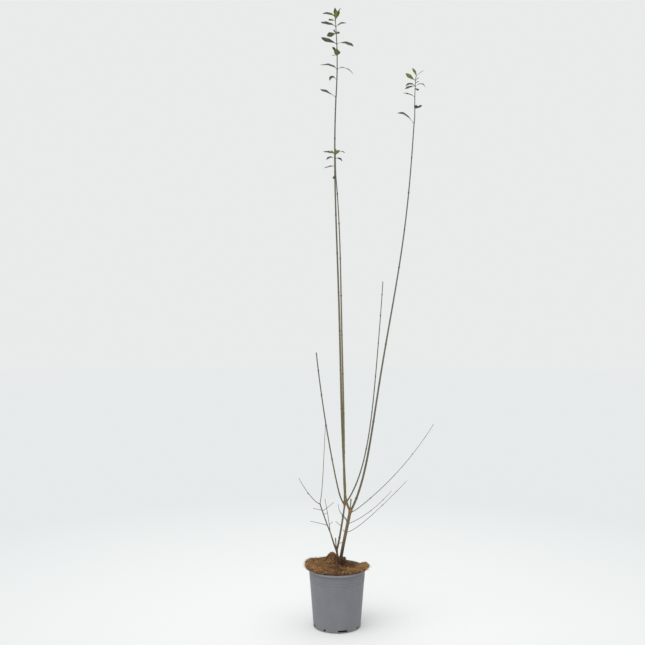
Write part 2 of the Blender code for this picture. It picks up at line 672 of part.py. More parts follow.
def make_leaf(name, root, heading, leaf, collection):
    """One leaf: a grid bent along its midrib, folded a little, and made thick."""
    rib = Limb("", 0, heading, leaf.length, leaf.leans, LEAF_SETTLE * leaf.length, (0, 0))
    line = centre_line(root, rib)
    turned = math.radians(heading)
    outward = Vector((math.cos(turned), math.sin(turned), 0))
    level = Vector((-math.sin(turned), math.cos(turned), 0))
    roll = math.radians(leaf.roll)
    shape = bmesh.new()
    bmesh.ops.create_grid(shape, x_segments=LEAF_ROWS, y_segments=2, size=1)
    for vertex in shape.verts:
        share, side = (vertex.co.x + 1) / 2, vertex.co.y
        lean = float(limb_lean(rib, share * leaf.length))
        forward = outward * math.sin(lean) + Vector((0, 0, math.cos(lean)))
        upper = forward.cross(level)
        across = level * math.cos(roll) + upper * math.sin(roll)
        face = upper * math.cos(roll) - level * math.sin(roll)
        half = leaf_half_width(share, leaf.slender * leaf.length, leaf.broadest)
        place = place_on(line, share * leaf.length)
        vertex.co = place + across * (side * half) + face * (abs(side) * half * LEAF_FOLD)
    bmesh.ops.recalc_face_normals(shape, faces=shape.faces)
    mesh = bpy.data.meshes.new(name)
    shape.to_mesh(mesh)
    shape.free()
    blade = bpy.data.objects.new(name, mesh)
    collection.objects.link(blade)
    thick = blade.modifiers.new("blade", "SOLIDIFY")
    thick.thickness = LEAF_THICKNESS
    thick.offset = 0
    return blade


def fuse(piece, growth):
    """Join a collection of leaves and twigs to the shoot that carries them."""
    join = piece.modifiers.new("grown together", "BOOLEAN")
    join.operation = "UNION"
    join.solver = "EXACT"
    join.operand_type = "COLLECTION"
    join.collection = growth
    mesh = evaluated_mesh(piece)
    piece.modifiers.clear()
    piece.data = mesh
    for grown in list(growth.objects):
        bpy.data.objects.remove(grown, do_unlink=True)
    bpy.data.collections.remove(growth)


def grow_leaves(shoot, root, name, growth):
    """Set the pairs of leaves on a shoot."""
    line = centre_line(root, shoot)
    for height, heading, first, second in PAIRS[name]:
        base = place_on(line, height)
        for leaf, bearing in ((first, heading), (second, heading + 180)):
            if leaf:
                make_leaf(f"leaf_{len(growth.objects)}", base, bearing, leaf, growth)


def grow_twigs(shoot, root, growth):
    """Set the bare twigs on a shoot, each on the shoot or on an earlier twig."""
    lines = {"stem": (centre_line(root, shoot), shoot.length)}
    for name, twig in TWIGS.items():
        line, length = lines[twig.parent]
        base = place_on(line, twig.share * length)
        limb_tube(name, twig, base, THIN_SIDES, growth)
        lines[name] = (centre_line(base, twig), twig.length)


def make_shoots(roots, parts, enlarged):
    """The leafy tops and the twiggy low shoot, each one solid that goes on from its bough."""
    for name, shoot in SHOOTS.items():
        stem = limb_tube(name, shoot, roots[name], THICK_SIDES, parts)
        growth = new_collection(f"{name}_growth")
        if name in PAIRS:
            grow_leaves(shoot, roots[name], name, growth)
        else:
            grow_twigs(shoot, roots[name], growth)
        fuse(stem, growth)
        cut(stem, enlarged[shoot.parent])
        stem.data.shade_flat()
        paint(stem, LEAF_GREEN if name in PAIRS else YOUNG_BARK, MATTE)


def main():
    """Build the pot, what fills it, and the plant."""
    clear_scene()
    parts = new_collection(PLANT)
    cutters = new_collection("cutters")
    make_pot(parts, cutters)
    make_compost(parts)
    roots = limb_roots()
    enlarged = make_limbs(roots, parts, cutters)
    make_mat(parts, cutters, (enlarged["trunk"], enlarged["left_stem"]))
    make_shoots(roots, parts, enlarged)


main()
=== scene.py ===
"""The looks of a young evergreen privet in a round nursery pot.

Metres, +Z up. The origin is the middle of the pot's flat underside, +X is to the right of
the side it is seen from, and +Y is behind. A heading is in degrees from +X towards +Y, and
a lean is in degrees from the vertical. Colours are red, green and blue from 0 to 255.
"""

import json
import math
from typing import NamedTuple

import bmesh
import bpy
import numpy as np
from mathutils import Matrix, Vector, noise

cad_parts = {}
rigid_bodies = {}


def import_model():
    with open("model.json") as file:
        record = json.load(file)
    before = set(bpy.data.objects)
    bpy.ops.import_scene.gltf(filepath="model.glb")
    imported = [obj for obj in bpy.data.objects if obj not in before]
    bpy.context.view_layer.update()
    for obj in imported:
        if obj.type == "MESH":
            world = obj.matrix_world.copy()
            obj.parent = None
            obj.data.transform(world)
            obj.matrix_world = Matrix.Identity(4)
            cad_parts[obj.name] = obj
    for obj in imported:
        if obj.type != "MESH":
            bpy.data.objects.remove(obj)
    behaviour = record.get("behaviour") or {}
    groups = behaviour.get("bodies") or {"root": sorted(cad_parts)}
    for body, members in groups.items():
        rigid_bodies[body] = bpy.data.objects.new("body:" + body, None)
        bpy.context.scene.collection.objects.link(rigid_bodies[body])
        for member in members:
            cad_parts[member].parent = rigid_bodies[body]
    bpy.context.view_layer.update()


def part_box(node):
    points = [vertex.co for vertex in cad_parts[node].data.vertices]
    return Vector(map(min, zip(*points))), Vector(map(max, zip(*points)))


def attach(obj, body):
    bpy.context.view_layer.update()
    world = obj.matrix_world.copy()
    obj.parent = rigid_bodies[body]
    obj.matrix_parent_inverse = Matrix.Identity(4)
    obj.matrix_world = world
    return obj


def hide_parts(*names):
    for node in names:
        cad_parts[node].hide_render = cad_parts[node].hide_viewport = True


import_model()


# Studio
# A sheet of matt white paper lies under the pot. It greys a little with distance, so that
# it runs into the room's even light, and one very soft lamp stands to the left in front.
ROOM_LIGHT = (233, 235, 235)
PAPER_NEAR = (246, 247, 246)
PAPER_FAR = (229, 231, 231)
PAPER_RADIUS = 8.0
PAPER_SIDES = 96
PAPER_FADE = (0.25, 1.6)
PAPER_ROUGHNESS = 0.95
LAMP_STRENGTH = 0.95
LAMP_SPREAD = 70
LAMP_TURN = (48, 0, -38)  # degrees about X, Y and Z
CAMERA_PLACE = (-0.04, -2.70, 0.956)
CAMERA_DOWN = 2.58  # degrees below level
CAMERA_LENS = 55.6
CAMERA_SENSOR = 36.0


def linear(colour):
    """Return a colour of 0 to 255 as linear light, with full alpha."""
    shares = [channel / 255 for channel in colour]
    return [s / 12.92 if s <= 0.04045 else ((s + 0.055) / 1.055) ** 2.4 for s in shares] + [1.0]


def put(tree, kind, inputs=None, **settings):
    """Add a node, with its settings, and with each input set or linked."""
    node = tree.nodes.new(kind)
    for name, value in settings.items():
        setattr(node, name, value)
    wire(tree, node, inputs or {})
    return node


def wire(tree, node, inputs):
    """Set or link a node's inputs, named by their label or number."""
    for name, value in inputs.items():
        if isinstance(value, bpy.types.NodeSocket):
            tree.links.new(value, node.inputs[name])
        else:
            node.inputs[name].default_value = value


def blend(tree, share, first, second):
    """Return a colour socket between two colours."""
    mix = put(tree, "ShaderNodeMix", {0: share, 6: first, 7: second}, data_type="RGBA")
    return mix.outputs[2]


def rescale(tree, value, low, high, to_low=0.0, to_high=1.0):
    """Return a value socket carried from one range to another, and held inside it."""
    inputs = {"Value": value, "From Min": low, "From Max": high, "To Min": to_low, "To Max": to_high}
    return put(tree, "ShaderNodeMapRange", inputs).outputs["Result"]


def new_finish(name):
    """Return a new material, its node tree, its shader, and the socket of places on a piece."""
    material = bpy.data.materials.new(name)
    material.use_nodes = True
    tree = material.node_tree
    place = put(tree, "ShaderNodeTexCoord").outputs["Object"]
    return material, tree, tree.nodes["Principled BSDF"], place


def add_object(name, data):
    """Return a new object in the scene, made of a mesh, a lamp's data or a camera's."""
    item = bpy.data.objects.new(name, data)
    bpy.context.scene.collection.objects.link(item)
    return item


def mesh_of(name, shape):
    """Return a mesh made from a bmesh, which is freed."""
    mesh = bpy.data.meshes.new(name)
    shape.to_mesh(mesh)
    shape.free()
    return mesh


paper, tree, shader, place = new_finish("white_paper")
away = put(tree, "ShaderNodeVectorMath", {0: place}, operation="LENGTH").outputs["Value"]
wire(tree, shader, {
    "Base Color": blend(tree, rescale(tree, away, *PAPER_FADE), linear(PAPER_NEAR), linear(PAPER_FAR)),
    "Roughness": PAPER_ROUGHNESS,
    "Specular IOR Level": 0.0,
})
sheet = bmesh.new()
bmesh.ops.create_circle(sheet, cap_ends=True, segments=PAPER_SIDES, radius=PAPER_RADIUS)
floor = add_object("floor", mesh_of("floor", sheet))
floor.data.materials.append(paper)

world = bpy.data.worlds.new("studio")
bpy.context.scene.world = world
world.use_nodes = True
world.node_tree.nodes["Background"].inputs["Color"].default_value = linear(ROOM_LIGHT)
lamp_data = bpy.data.lights.new("soft_lamp", "SUN")
lamp_data.energy = LAMP_STRENGTH
lamp_data.angle = math.radians(LAMP_SPREAD)
lamp = add_object("soft_lamp", lamp_data)
lamp.rotation_euler = [math.radians(turn) for turn in LAMP_TURN]
bpy.context.scene.view_settings.view_transform = "Standard"

camera_data = bpy.data.cameras.new("camera")
camera_data.sensor_width = CAMERA_SENSOR
camera_data.lens = CAMERA_LENS
camera = add_object("camera", camera_data)
camera.location = CAMERA_PLACE
camera.rotation_euler = (math.radians(90 - CAMERA_DOWN), 0, 0)
bpy.context.scene.camera = camera


# Pot
# A round nursery pot, moulded from recycled grey polypropylene: a tapering cup with a rolled
# lip, a band with three faint rings under it, and drain windows above its foot ring.
POT_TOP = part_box("pot")[1].z
POT_LIP_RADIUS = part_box("pot")[1].x
POT_FOOT_RADIUS = 0.0647
POT_BODY_RADIUS = 0.0768  # the body's taper, carried up to the rim
POT_WALL = 0.0014
POT_FLOOR = 0.0018
POT_LIP_DEPTH = 0.0062
POT_LIP_ROUND = 0.0011
POT_BAND_FROM = 0.129
POT_BAND_PROUD = 0.0005
POT_RINGS = (0.1452, 0.1370, 0.1292)
POT_RING_DEPTH = 0.0008
POT_RING_HALF = 0.0011
POT_FOOT_ROUND = 0.003
POT_FOOT_RING = 0.0065  # width of the ring that stands on the floor
POT_FOOT_HOLLOW = 0.0005
POT_GATE_RADIUS = 0.0035  # the moulding mark in the middle of the underside
POT_GATE_TAPER = 0.6
POT_STEPS = 144
CRISP_FROM = 38  # degrees between two faces whose edge stays crisp
WINDOW_COUNT = 8
WINDOW_WIDTHS = (0.0268, 0.0068)  # wide and narrow ones take turns
WINDOW_FROM = 0.0036
WINDOW_TO = 0.0088
WINDOW_REACH = 0.006  # how far it is cut inward and outward
WINDOW_HEADING = -77.0
WINDOW_ROUND = 0.25  # radius of its corners, as a share of its height
PLASTIC = (122, 122, 128)
PLASTIC_DARK = (111, 111, 117)
PLASTIC_WORN_AND_HIGHLIGHT = (150, 149, 153)
PLASTIC_DUST = (139, 128, 116)
UNDER_LIP_SHADE = (92, 91, 94)
UNDER_LIP_SHADE_REACH = 0.011  # how far below the lip the painted shade reaches
UNDER_LIP_SHADE_POWER = 1.6  # how fast it fades
UNDER_LIP_SHADE_SHARE = 0.9
CLOUD_SCALE = 24.0  # how often it repeats in a metre, as for every scale below
CLOUD_RANGE = (0.45, 1.0)
FLOW_SCALES = (60, 60, 7)
FLOW_SHARE = 0.45  # strength of the upright flow streaks beside the clouds
SPECK_SCALE = 420.0
SPECK_RANGE = (0.70, 0.76)
SPECK_SHARE = 0.35
RUB_SCALE = 140.0
RUB_RANGE = (0.35, 0.7)
RUB_AND_HIGHLIGHT_SHARES = (0.25, 0.9)  # how worn the lip is at its foot and at its top, where it is also a painted highlight
FOOT_DUST_SCALE = 70.0
FOOT_DUST_REACH = 0.028
FOOT_DUST_SHARE = 0.45
SKIN_SCALE = 900.0
SKIN_RELIEF = 0.00006
PLASTIC_ROUGHNESS = (0.50, 0.62)
PATTERN_RANGE = (0.3, 0.7)  # nearly all of a noise pattern lies within it
GRIME_RANGE = (0.42, 0.68)


def arc(centre, radius, start, end, steps=6):
    """Return profile points on an arc, from one angle in degrees to another."""
    angles = [math.radians(start + (end - start) * step / steps) for step in range(steps + 1)]
    return [(centre[0] + radius * math.cos(a), centre[1] + radius * math.sin(a)) for a in angles]


def body_radius(height):
    """Return the pot body's outside radius at a height."""
    return POT_FOOT_RADIUS + (POT_BODY_RADIUS - POT_FOOT_RADIUS) * height / POT_TOP


def turned(name, profile, steps, finish):
    """Return a smooth solid turned about the Z axis from a profile of (radius, height)."""
    shape = bmesh.new()
    points = [shape.verts.new((radius, 0, height)) for radius, height in profile]
    edges = [shape.edges.new(pair) for pair in zip(points, points[1:])]
    turn = {"axis": (0, 0, 1), "cent": (0, 0, 0), "steps": steps, "angle": math.tau}
    bmesh.ops.spin(shape, geom=points + edges, **turn)
    bmesh.ops.remove_doubles(shape, verts=shape.verts, dist=1e-6)
    bmesh.ops.recalc_face_normals(shape, faces=shape.faces)
    mesh = mesh_of(name, shape)
    mesh.materials.append(finish)
    return add_object(name, mesh)


def shade_crisp(piece):
    """Shade a piece smooth, apart from its sharp edges."""
    piece.data.shade_smooth()
    piece.data.set_sharp_from_angle(angle=math.radians(CRISP_FROM))


def subtract(piece, cutters):
    """Cut other objects out of a piece, and remove them."""
    for cutter in cutters:
        trim = piece.modifiers.new(cutter.name, "BOOLEAN")
        trim.operation = "DIFFERENCE"
        trim.solver = "EXACT"
        trim.object = cutter
    bpy.context.view_layer.update()
    seen = piece.evaluated_get(bpy.context.evaluated_depsgraph_get())
    mesh = bpy.data.meshes.new_from_object(seen)
    piece.modifiers.clear()
    piece.data = mesh
    for cutter in cutters:
        bpy.data.objects.remove(cutter, do_unlink=True)


def pot_profile():
    """Return the pot's section, from the middle of its floor, over the lip, to its underside."""
    lip_bottom = POT_TOP - POT_LIP_DEPTH
    lip_edge = POT_LIP_RADIUS - POT_LIP_ROUND
    inside = body_radius(POT_TOP) - POT_WALL
    profile = [(0, POT_FLOOR), (body_radius(POT_FLOOR) - POT_WALL, POT_FLOOR)]
    profile += arc((inside + POT_LIP_ROUND / 2, POT_TOP - POT_LIP_ROUND / 2), POT_LIP_ROUND / 2, 180, 90)
    profile += arc((lip_edge, POT_TOP - POT_LIP_ROUND), POT_LIP_ROUND, 90, 0)
    profile += arc((lip_edge, lip_bottom + POT_LIP_ROUND), POT_LIP_ROUND, 0, -80)
    band = POT_BAND_PROUD
    profile += [(body_radius(lip_bottom) + band, lip_bottom + POT_WALL / 2)]
    for ring in POT_RINGS:
        radius = body_radius(ring) + band
        profile += [
            (radius, ring + POT_RING_HALF),
            (radius - POT_RING_DEPTH, ring),
            (radius, ring - POT_RING_HALF),
        ]
    profile += [(body_radius(POT_BAND_FROM), POT_BAND_FROM - 2 * POT_RING_HALF)]
    foot = body_radius(POT_FOOT_ROUND) - POT_FOOT_ROUND
    profile += arc((foot, POT_FOOT_ROUND), POT_FOOT_ROUND, 0, -90)
    hollow = foot - POT_FOOT_RING
    profile += [(hollow, 0), (hollow - POT_FOOT_HOLLOW, POT_FOOT_HOLLOW)]
    gate = POT_FOOT_HOLLOW / 3
    profile += [(POT_GATE_RADIUS, POT_FOOT_HOLLOW), (POT_GATE_RADIUS * POT_GATE_TAPER, gate), (0, gate)]
    return profile


def window_cutter(index):
    """Return the rounded block that opens one drain window in the pot's foot."""
    inner, outer = POT_FOOT_RADIUS - WINDOW_REACH, POT_FOOT_RADIUS + WINDOW_REACH
    shape = bmesh.new()
    bmesh.ops.create_cube(shape, size=1)
    size = (outer - inner, WINDOW_WIDTHS[index % 2], WINDOW_TO - WINDOW_FROM)
    bmesh.ops.scale(shape, vec=size, verts=shape.verts)
    along = [edge for edge in shape.edges if edge.verts[0].co.x * edge.verts[1].co.x < 0]
    corner = {"offset": size[2] * WINDOW_ROUND, "segments": 3, "profile": 0.5}
    bmesh.ops.bevel(shape, geom=along, affect="EDGES", **corner)
    cutter = add_object(f"window_{index}", mesh_of(f"window_{index}", shape))
    heading = math.radians(WINDOW_HEADING + 360 * index / WINDOW_COUNT)
    middle = (inner + outer) / 2
    height = (WINDOW_FROM + WINDOW_TO) / 2
    cutter.location = (middle * math.cos(heading), middle * math.sin(heading), height)
    cutter.rotation_euler.z = heading
    return cutter


def new_effect(name, inputs, outputs):
    """Return a node group's tree, its input sockets by name, and its output node."""
    group = bpy.data.node_groups.new(name, "ShaderNodeTree")
    for label, kind, value in inputs:
        socket = group.interface.new_socket(label, in_out="INPUT", socket_type=kind)
        if value is not None:
            socket.default_value = value
    for label, kind in outputs:
        group.interface.new_socket(label, in_out="OUTPUT", socket_type=kind)
    entry = group.nodes.new("NodeGroupInput")
    return group, entry.outputs, group.nodes.new("NodeGroupOutput")


def height_of(tree, place):
    """Return the value socket of a place's height."""
    return put(tree, "ShaderNodeSeparateXYZ", {0: place}).outputs["Z"]


def stretched(tree, place, scales):
    """Return a socket of places that are scaled along X, Y and Z."""
    return put(tree, "ShaderNodeMapping", {"Vector": place, "Scale": scales}).outputs["Vector"]


def noise_socket(tree, place, scale, detail=3.0, roughness=0.55):
    """Return the value socket of a noise pattern."""
    inputs = {"Vector": place, "Scale": scale, "Detail": detail, "Roughness": roughness}
    return put(tree, "ShaderNodeTexNoise", inputs).outputs["Fac"]


def math_socket(tree, operation, *values):
    """Return the result of a sum on sockets or numbers."""
    return put(tree, "ShaderNodeMath", dict(enumerate(values)), operation=operation).outputs[0]


def tinted(tree, shade, mask, strength, colour):
    """Return a colour socket with another colour laid over it by a mask."""
    return blend(tree, math_socket(tree, "MULTIPLY", mask, strength), shade, linear(colour))


def raised(tree, height, strength):
    """Return the normal socket of a relief of real height."""
    bump = {"Height": height, "Distance": 1.0, "Strength": strength}
    return put(tree, "ShaderNodeBump", bump).outputs["Normal"]


# Grime: a patchy mask, thickest low down on an upright surface. The pot lays dust and crumbs
# of compost with it, and the bark compost stain with painted contact shade; each places it
# with its own heights.
grime, entry, result = new_effect(
    "grime",
    [("Vector", "NodeSocketVector", None), ("Height", "NodeSocketFloat", 0.0),
     ("Full", "NodeSocketFloat", 0.0), ("Gone", "NodeSocketFloat", 1.0),
     ("Scale", "NodeSocketFloat", 60.0)],
    [("Mask", "NodeSocketFloat")],
)
thick = rescale(grime, entry["Height"], entry["Full"], entry["Gone"], 1.0, 0.0)
patchy = noise_socket(grime, entry["Vector"], entry["Scale"], 6.0, 0.65)
patches = rescale(grime, patchy, *GRIME_RANGE)
wire(grime, result, {"Mask": math_socket(grime, "MULTIPLY", thick, patches)})

# Recycled grey plastic: soft clouds and upright streaks from the mould, painted shade under
# the lip, pale specks, a rubbed lip lightened by a painted highlight, and dust about the foot.
plastic, tree, shader, place = new_finish("grey_polypropylene")
height = height_of(tree, place)
upright = stretched(tree, place, FLOW_SCALES)
clouds = noise_socket(tree, place, CLOUD_SCALE, 4.0, 0.6)
flow = noise_socket(tree, upright, 1.0, 3.0, 0.5)
uneven = math_socket(tree, "MULTIPLY_ADD", flow, FLOW_SHARE, clouds)
grey = blend(tree, rescale(tree, uneven, *CLOUD_RANGE), linear(PLASTIC_DARK), linear(PLASTIC))
lip_bottom = POT_TOP - POT_LIP_DEPTH
# Painted shade: the plastic darkens just under the lip, where the lip overhangs it, fading downward.
below_lip = rescale(tree, height, lip_bottom - UNDER_LIP_SHADE_REACH, lip_bottom)
grey = tinted(tree, grey, math_socket(tree, "POWER", below_lip, UNDER_LIP_SHADE_POWER), UNDER_LIP_SHADE_SHARE, UNDER_LIP_SHADE)
specks = noise_socket(tree, place, SPECK_SCALE, 1.0, 0.5)
specks = rescale(tree, specks, *SPECK_RANGE, 0.0, SPECK_SHARE)
grey = blend(tree, specks, grey, linear(PLASTIC_WORN_AND_HIGHLIGHT))
# Rubbed lip, partly wear and partly a painted highlight: paler towards its top, plain plastic over it all.
lip_wear_and_highlight = rescale(tree, height, lip_bottom, POT_TOP - POT_LIP_ROUND, *RUB_AND_HIGHLIGHT_SHARES)
rubbed = rescale(tree, noise_socket(tree, place, RUB_SCALE, 5.0, 0.7), *RUB_RANGE)
at_lip = math_socket(tree, "GREATER_THAN", height, lip_bottom)
grey = blend(tree, at_lip, grey, linear(PLASTIC))
grey = tinted(tree, grey, math_socket(tree, "MULTIPLY", lip_wear_and_highlight, rubbed), at_lip, PLASTIC_WORN_AND_HIGHLIGHT)
low_down = {"Vector": place, "Height": height, "Gone": FOOT_DUST_REACH, "Scale": FOOT_DUST_SCALE}
dust = put(tree, "ShaderNodeGroup", low_down, node_tree=grime).outputs["Mask"]
skin = noise_socket(tree, place, SKIN_SCALE, 2.0, 0.5)
wire(tree, shader, {
    "Base Color": tinted(tree, grey, dust, FOOT_DUST_SHARE, PLASTIC_DUST),
    "Roughness": rescale(tree, clouds, *PATTERN_RANGE, *PLASTIC_ROUGHNESS),
    "Specular IOR Level": 0.4,
    "Normal": raised(tree, math_socket(tree, "MULTIPLY", skin, SKIN_RELIEF), 0.6),
})

pot = turned("pot_shell", pot_profile(), POT_STEPS, plastic)
subtract(pot, [window_cutter(index) for index in range(WINDOW_COUNT)])
shade_crisp(pot)
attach(pot, "root")
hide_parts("pot")


# Compost
# Dark peat-free compost fills the pot to just under the rim. It shows where the coir disc is
# slit, with loose crumbs and bits of bark lying on it, and through the drain windows, where
# the fill below its top layer is painted near-black as the shade inside the pot.
COMPOST_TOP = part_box("compost")[1].z
COMPOST_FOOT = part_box("compost")[0].z
COMPOST_CLEAR = 0.0017  # from the pot's outside to the compost, and on to the outermost crumb
COMPOST_ROUGH = 0.0022
COMPOST_LUMPS = ((0.009, 0.6, 0), (0.0035, 0.4, 5))  # size, strength and seed
COMPOST_RINGS = 60
COMPOST_SPOKES = 150
COMPOST_CORNER = 0.004  # depth of the loose top layer
COMPOST_LAP = 0.0001
CRUMB_COUNT = 900
CRUMB_SIZES = (0.0007, 0.0024)
CRUMB_RARITY = 3  # how rare the large ones are
CRUMB_AREA = ((-0.02, 0.075), (-0.035, 0.075))  # along X and Y
CRUMB_LIFTS = (-0.0003, 0.0008)
CRUMB_STRETCH = (0.55, 1.25)
CRUMB_CORNERS = (0.75, 1.15)
CHIP_SHARE = 0.3  # of the crumbs
COMPOST_DARK = (66, 43, 30)
COMPOST_SHADED = (24, 18, 15)
COMPOST_DAMP_AND_SHADE = (52, 31, 19)
COMPOST_RED = (140, 92, 64)
COMPOST_MID = (104, 70, 49)
BARK_CHIP = (128, 92, 63)
EARTH_SCALE = 260.0
EARTH_FINER = 4  # scale of the fine grain, beside the coarse one's
EARTH_RELIEF = 0.0008
CHIP_SCALE = 300.0
CHIP_RELIEF = 0.0005
EARTH_MID_RANGE = (0.40, 0.60)
EARTH_LIGHT_RANGE = (0.52, 0.68)
EARTH_ROUGHNESS = (0.80, 0.98)
SLIT = (
    (0.004, 0.004), (0.017, -0.024), (0.045, -0.031), (0.060, 0.012),
    (0.098, 0.024), (0.100, 0.090), (0.034, 0.098),
)
rng = np.random.default_rng(7)


def in_outline(x, y, outline):
    """Return whether a place is inside a closed outline."""
    inside = False
    for (ax, ay), (bx, by) in zip(outline, outline[1:] + outline[:1]):
        if (ay > y) != (by > y) and x < ax + (y - ay) * (bx - ax) / (by - ay):
            inside = not inside
    return inside


def lumpiness(x, y, layers):
    """Return the sum of soft noise in layers, each of a size, a strength and a seed."""
    return sum(
        strength * noise.noise(Vector((x / size + seed, y / size, 0)))
        for size, strength, seed in layers
    )


def add_piece(name, points, faces, finishes, kinds=None):
    """Return a smooth-shaded object from points and faces, with a finish for each face."""
    mesh = bpy.data.meshes.new(name)
    mesh.from_pydata(points, [], faces)
    for finish in finishes:
        mesh.materials.append(finish)
    if kinds is not None:
        mesh.polygons.foreach_set("material_index", kinds)
    mesh.shade_smooth()
    mesh.update()
    return add_object(name, mesh)


def polar_solid(name, edge, rings, spokes, top, bottom, finishes):
    """Return a closed round solid whose edge, top and bottom are functions of place."""
    points, faces = [], []
    angles = [math.tau * spoke / spokes for spoke in range(spokes)]
    for side in (top, bottom):
        points.append((0, 0, side(0, 0)))
        for ring in range(1, rings + 1):
            for angle in angles:
                radius = edge(angle) * ring / rings
                x, y = radius * math.cos(angle), radius * math.sin(angle)
                points.append((x, y, side(x, y)))
    half = 1 + rings * spokes
    for start, flip in ((0, 1), (half, -1)):
        for spoke in range(spokes):
            after = (spoke + 1) % spokes
            faces.append((start, start + 1 + spoke, start + 1 + after)[::flip])
            for ring in range(rings - 1):
                a = start + 1 + ring * spokes
                b = a + spokes
                faces.append((a + spoke, b + spoke, b + after, a + after)[::flip])
    rim = 1 + (rings - 1) * spokes
    for spoke in range(spokes):
        after = (spoke + 1) % spokes
        faces.append((rim + spoke, half + rim + spoke, half + rim + after, rim + after))
    return add_piece(name, points, faces, finishes)


def lumps(name, places, sizes, finishes, kinds):
    """Return one joined piece of small irregular lumps, each turned its own way."""
    ball = bmesh.new()
    bmesh.ops.create_icosphere(ball, subdivisions=1, radius=1)
    corners = np.array([vertex.co for vertex in ball.verts])
    sides = np.array([[vertex.index for vertex in face.verts] for face in ball.faces])
    ball.free()
    points, faces = [], []
    for place, size in zip(places, sizes):
        stretch = rng.uniform(*CRUMB_STRETCH, 3) * size
        turn = Matrix.Rotation(rng.uniform(0, math.tau), 3, Vector(rng.normal(size=3)).normalized())
        shape = corners * rng.uniform(*CRUMB_CORNERS, (len(corners), 1)) * stretch
        faces.append(sides + len(points) * len(corners))
        points.append(shape @ np.array(turn).T + place)
    piece = add_piece(
        name, np.concatenate(points).tolist(), np.concatenate(faces).tolist(), finishes,
        np.repeat(kinds, len(sides)),
    )
    piece.data.shade_flat()
    return piece


def earth_finish(name, colours, scale, relief):
    """Return a crumbly finish between three colours."""
    material, tree, shader, place = new_finish(name)
    coarse = noise_socket(tree, place, scale, 5.0, 0.7)
    fine = noise_socket(tree, place, scale * EARTH_FINER, 4.0, 0.7)
    shade = blend(tree, rescale(tree, coarse, *EARTH_MID_RANGE), linear(colours[0]), linear(colours[1]))
    shade = blend(tree, rescale(tree, fine, *EARTH_LIGHT_RANGE), shade, linear(colours[2]))
    height = math_socket(tree, "MULTIPLY", math_socket(tree, "ADD", coarse, fine), relief)
    wire(tree, shader, {
        "Base Color": shade,
        "Roughness": rescale(tree, fine, *PATTERN_RANGE, *EARTH_ROUGHNESS),
        "Specular IOR Level": 0.2,
        "Normal": raised(tree, height, 0.9),
    })
    return material


def compost_top(x, y):
    """Return the height of the compost's lumpy surface."""
    return COMPOST_TOP - COMPOST_ROUGH / 2 + COMPOST_ROUGH / 2 * lumpiness(x, y, COMPOST_LUMPS)


# Painted shade: the fill is seen only through the drain windows, so its tones are near-black.
shaded_fill_tones = (COMPOST_SHADED, COMPOST_SHADED, COMPOST_DAMP_AND_SHADE)
shaded_fill_earth = earth_finish("shaded_compost_fill", shaded_fill_tones, EARTH_SCALE, EARTH_RELIEF)
moist_tones = (COMPOST_DARK, COMPOST_MID, COMPOST_RED)
earth = earth_finish("moist_compost", moist_tones, EARTH_SCALE, EARTH_RELIEF)
chips = earth_finish("bark_chips", (COMPOST_MID, BARK_CHIP, COMPOST_RED), CHIP_SCALE, CHIP_RELIEF)
compost_bed = COMPOST_TOP - COMPOST_CORNER
compost_radius = body_radius(COMPOST_TOP) - COMPOST_CLEAR
compost_profile = [
    (0, compost_bed),
    (compost_radius, compost_bed),
    (body_radius(COMPOST_FOOT) - COMPOST_CLEAR, COMPOST_FOOT),
    (0, COMPOST_FOOT),
]
compost = turned("compost_fill", compost_profile, POT_STEPS // 2, shaded_fill_earth)
shade_crisp(compost)
compost_surface = polar_solid(
    "compost_surface", lambda angle: compost_radius, COMPOST_RINGS, COMPOST_SPOKES,
    compost_top, lambda x, y: compost_bed + COMPOST_LAP, [earth],
)
places = []
while len(places) < CRUMB_COUNT:
    x, y = [rng.uniform(*reach) for reach in CRUMB_AREA]
    if in_outline(x, y, SLIT) and math.hypot(x, y) < compost_radius - COMPOST_CLEAR:
        places.append((x, y, compost_top(x, y) + rng.uniform(*CRUMB_LIFTS)))
small, large = CRUMB_SIZES
sizes = small + (large - small) * rng.random(CRUMB_COUNT) ** CRUMB_RARITY
kinds = (rng.random(CRUMB_COUNT) < CHIP_SHARE).astype(int)
crumbs = lumps("compost_crumbs", places, sizes, [earth, chips], kinds)
for piece in (compost, compost_surface, crumbs):
    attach(piece, "root")
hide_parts("compost")


# Coir disc
# A mulch disc of coconut fibre, felted with a little latex, lies on the compost and hangs
# just past the lip. It is slit to let the stems in, and one torn corner stands up behind.
MAT_RADIUS = 0.0862
MAT_FRONT_TUCK = 0.0065
MAT_REAR_TUCK = 0.0155
MAT_TUCK_POWER = 4
MAT_THICKNESS = 0.0085
MAT_STEP_IN = 0.058
MAT_STEP_OUT = 0.0725
MAT_PROUD = 0.0012
MAT_LOBES = (5, 9)
MAT_RAGGED = 0.0012
MAT_FRAY = 0.0016
MAT_TUFTS = ((0.05, 1.0, 0), (0.02, 0.6, 3))  # size beside the radius, strength and seed
MAT_LUMPS = 0.0022
MAT_FELT = ((0.008, 1.0, 2), (0.003, 0.7, 8))  # size, strength and seed
MAT_EDGE = 0.0004  # half of the felt's least thickness
MAT_RINGS = 44
MAT_SPOKES = 200
FLAP_PLACE = (-0.0128, 0.030)
FLAP_HEIGHT = 0.026
FLAP_SPREAD = 0.0185
FLAP_POWER = 2.2  # how flat its top is
CURL_PLACE = (-0.078, 0.020)  # where the edge curls up
CURL_HEIGHT = 0.0065
CURL_SPREAD = 0.028
STEM_HOLES = ((0.0078, 0.0, 0.0062), (0.0051, 0.0085, 0.0044))  # x, y and radius
SLIT_CUT = (-0.02, 0.06)  # from below the compost's level to above the disc
FIBRE_POINTS = 5
FIBRE_WIDTHS = (0.00010, 0.00019)
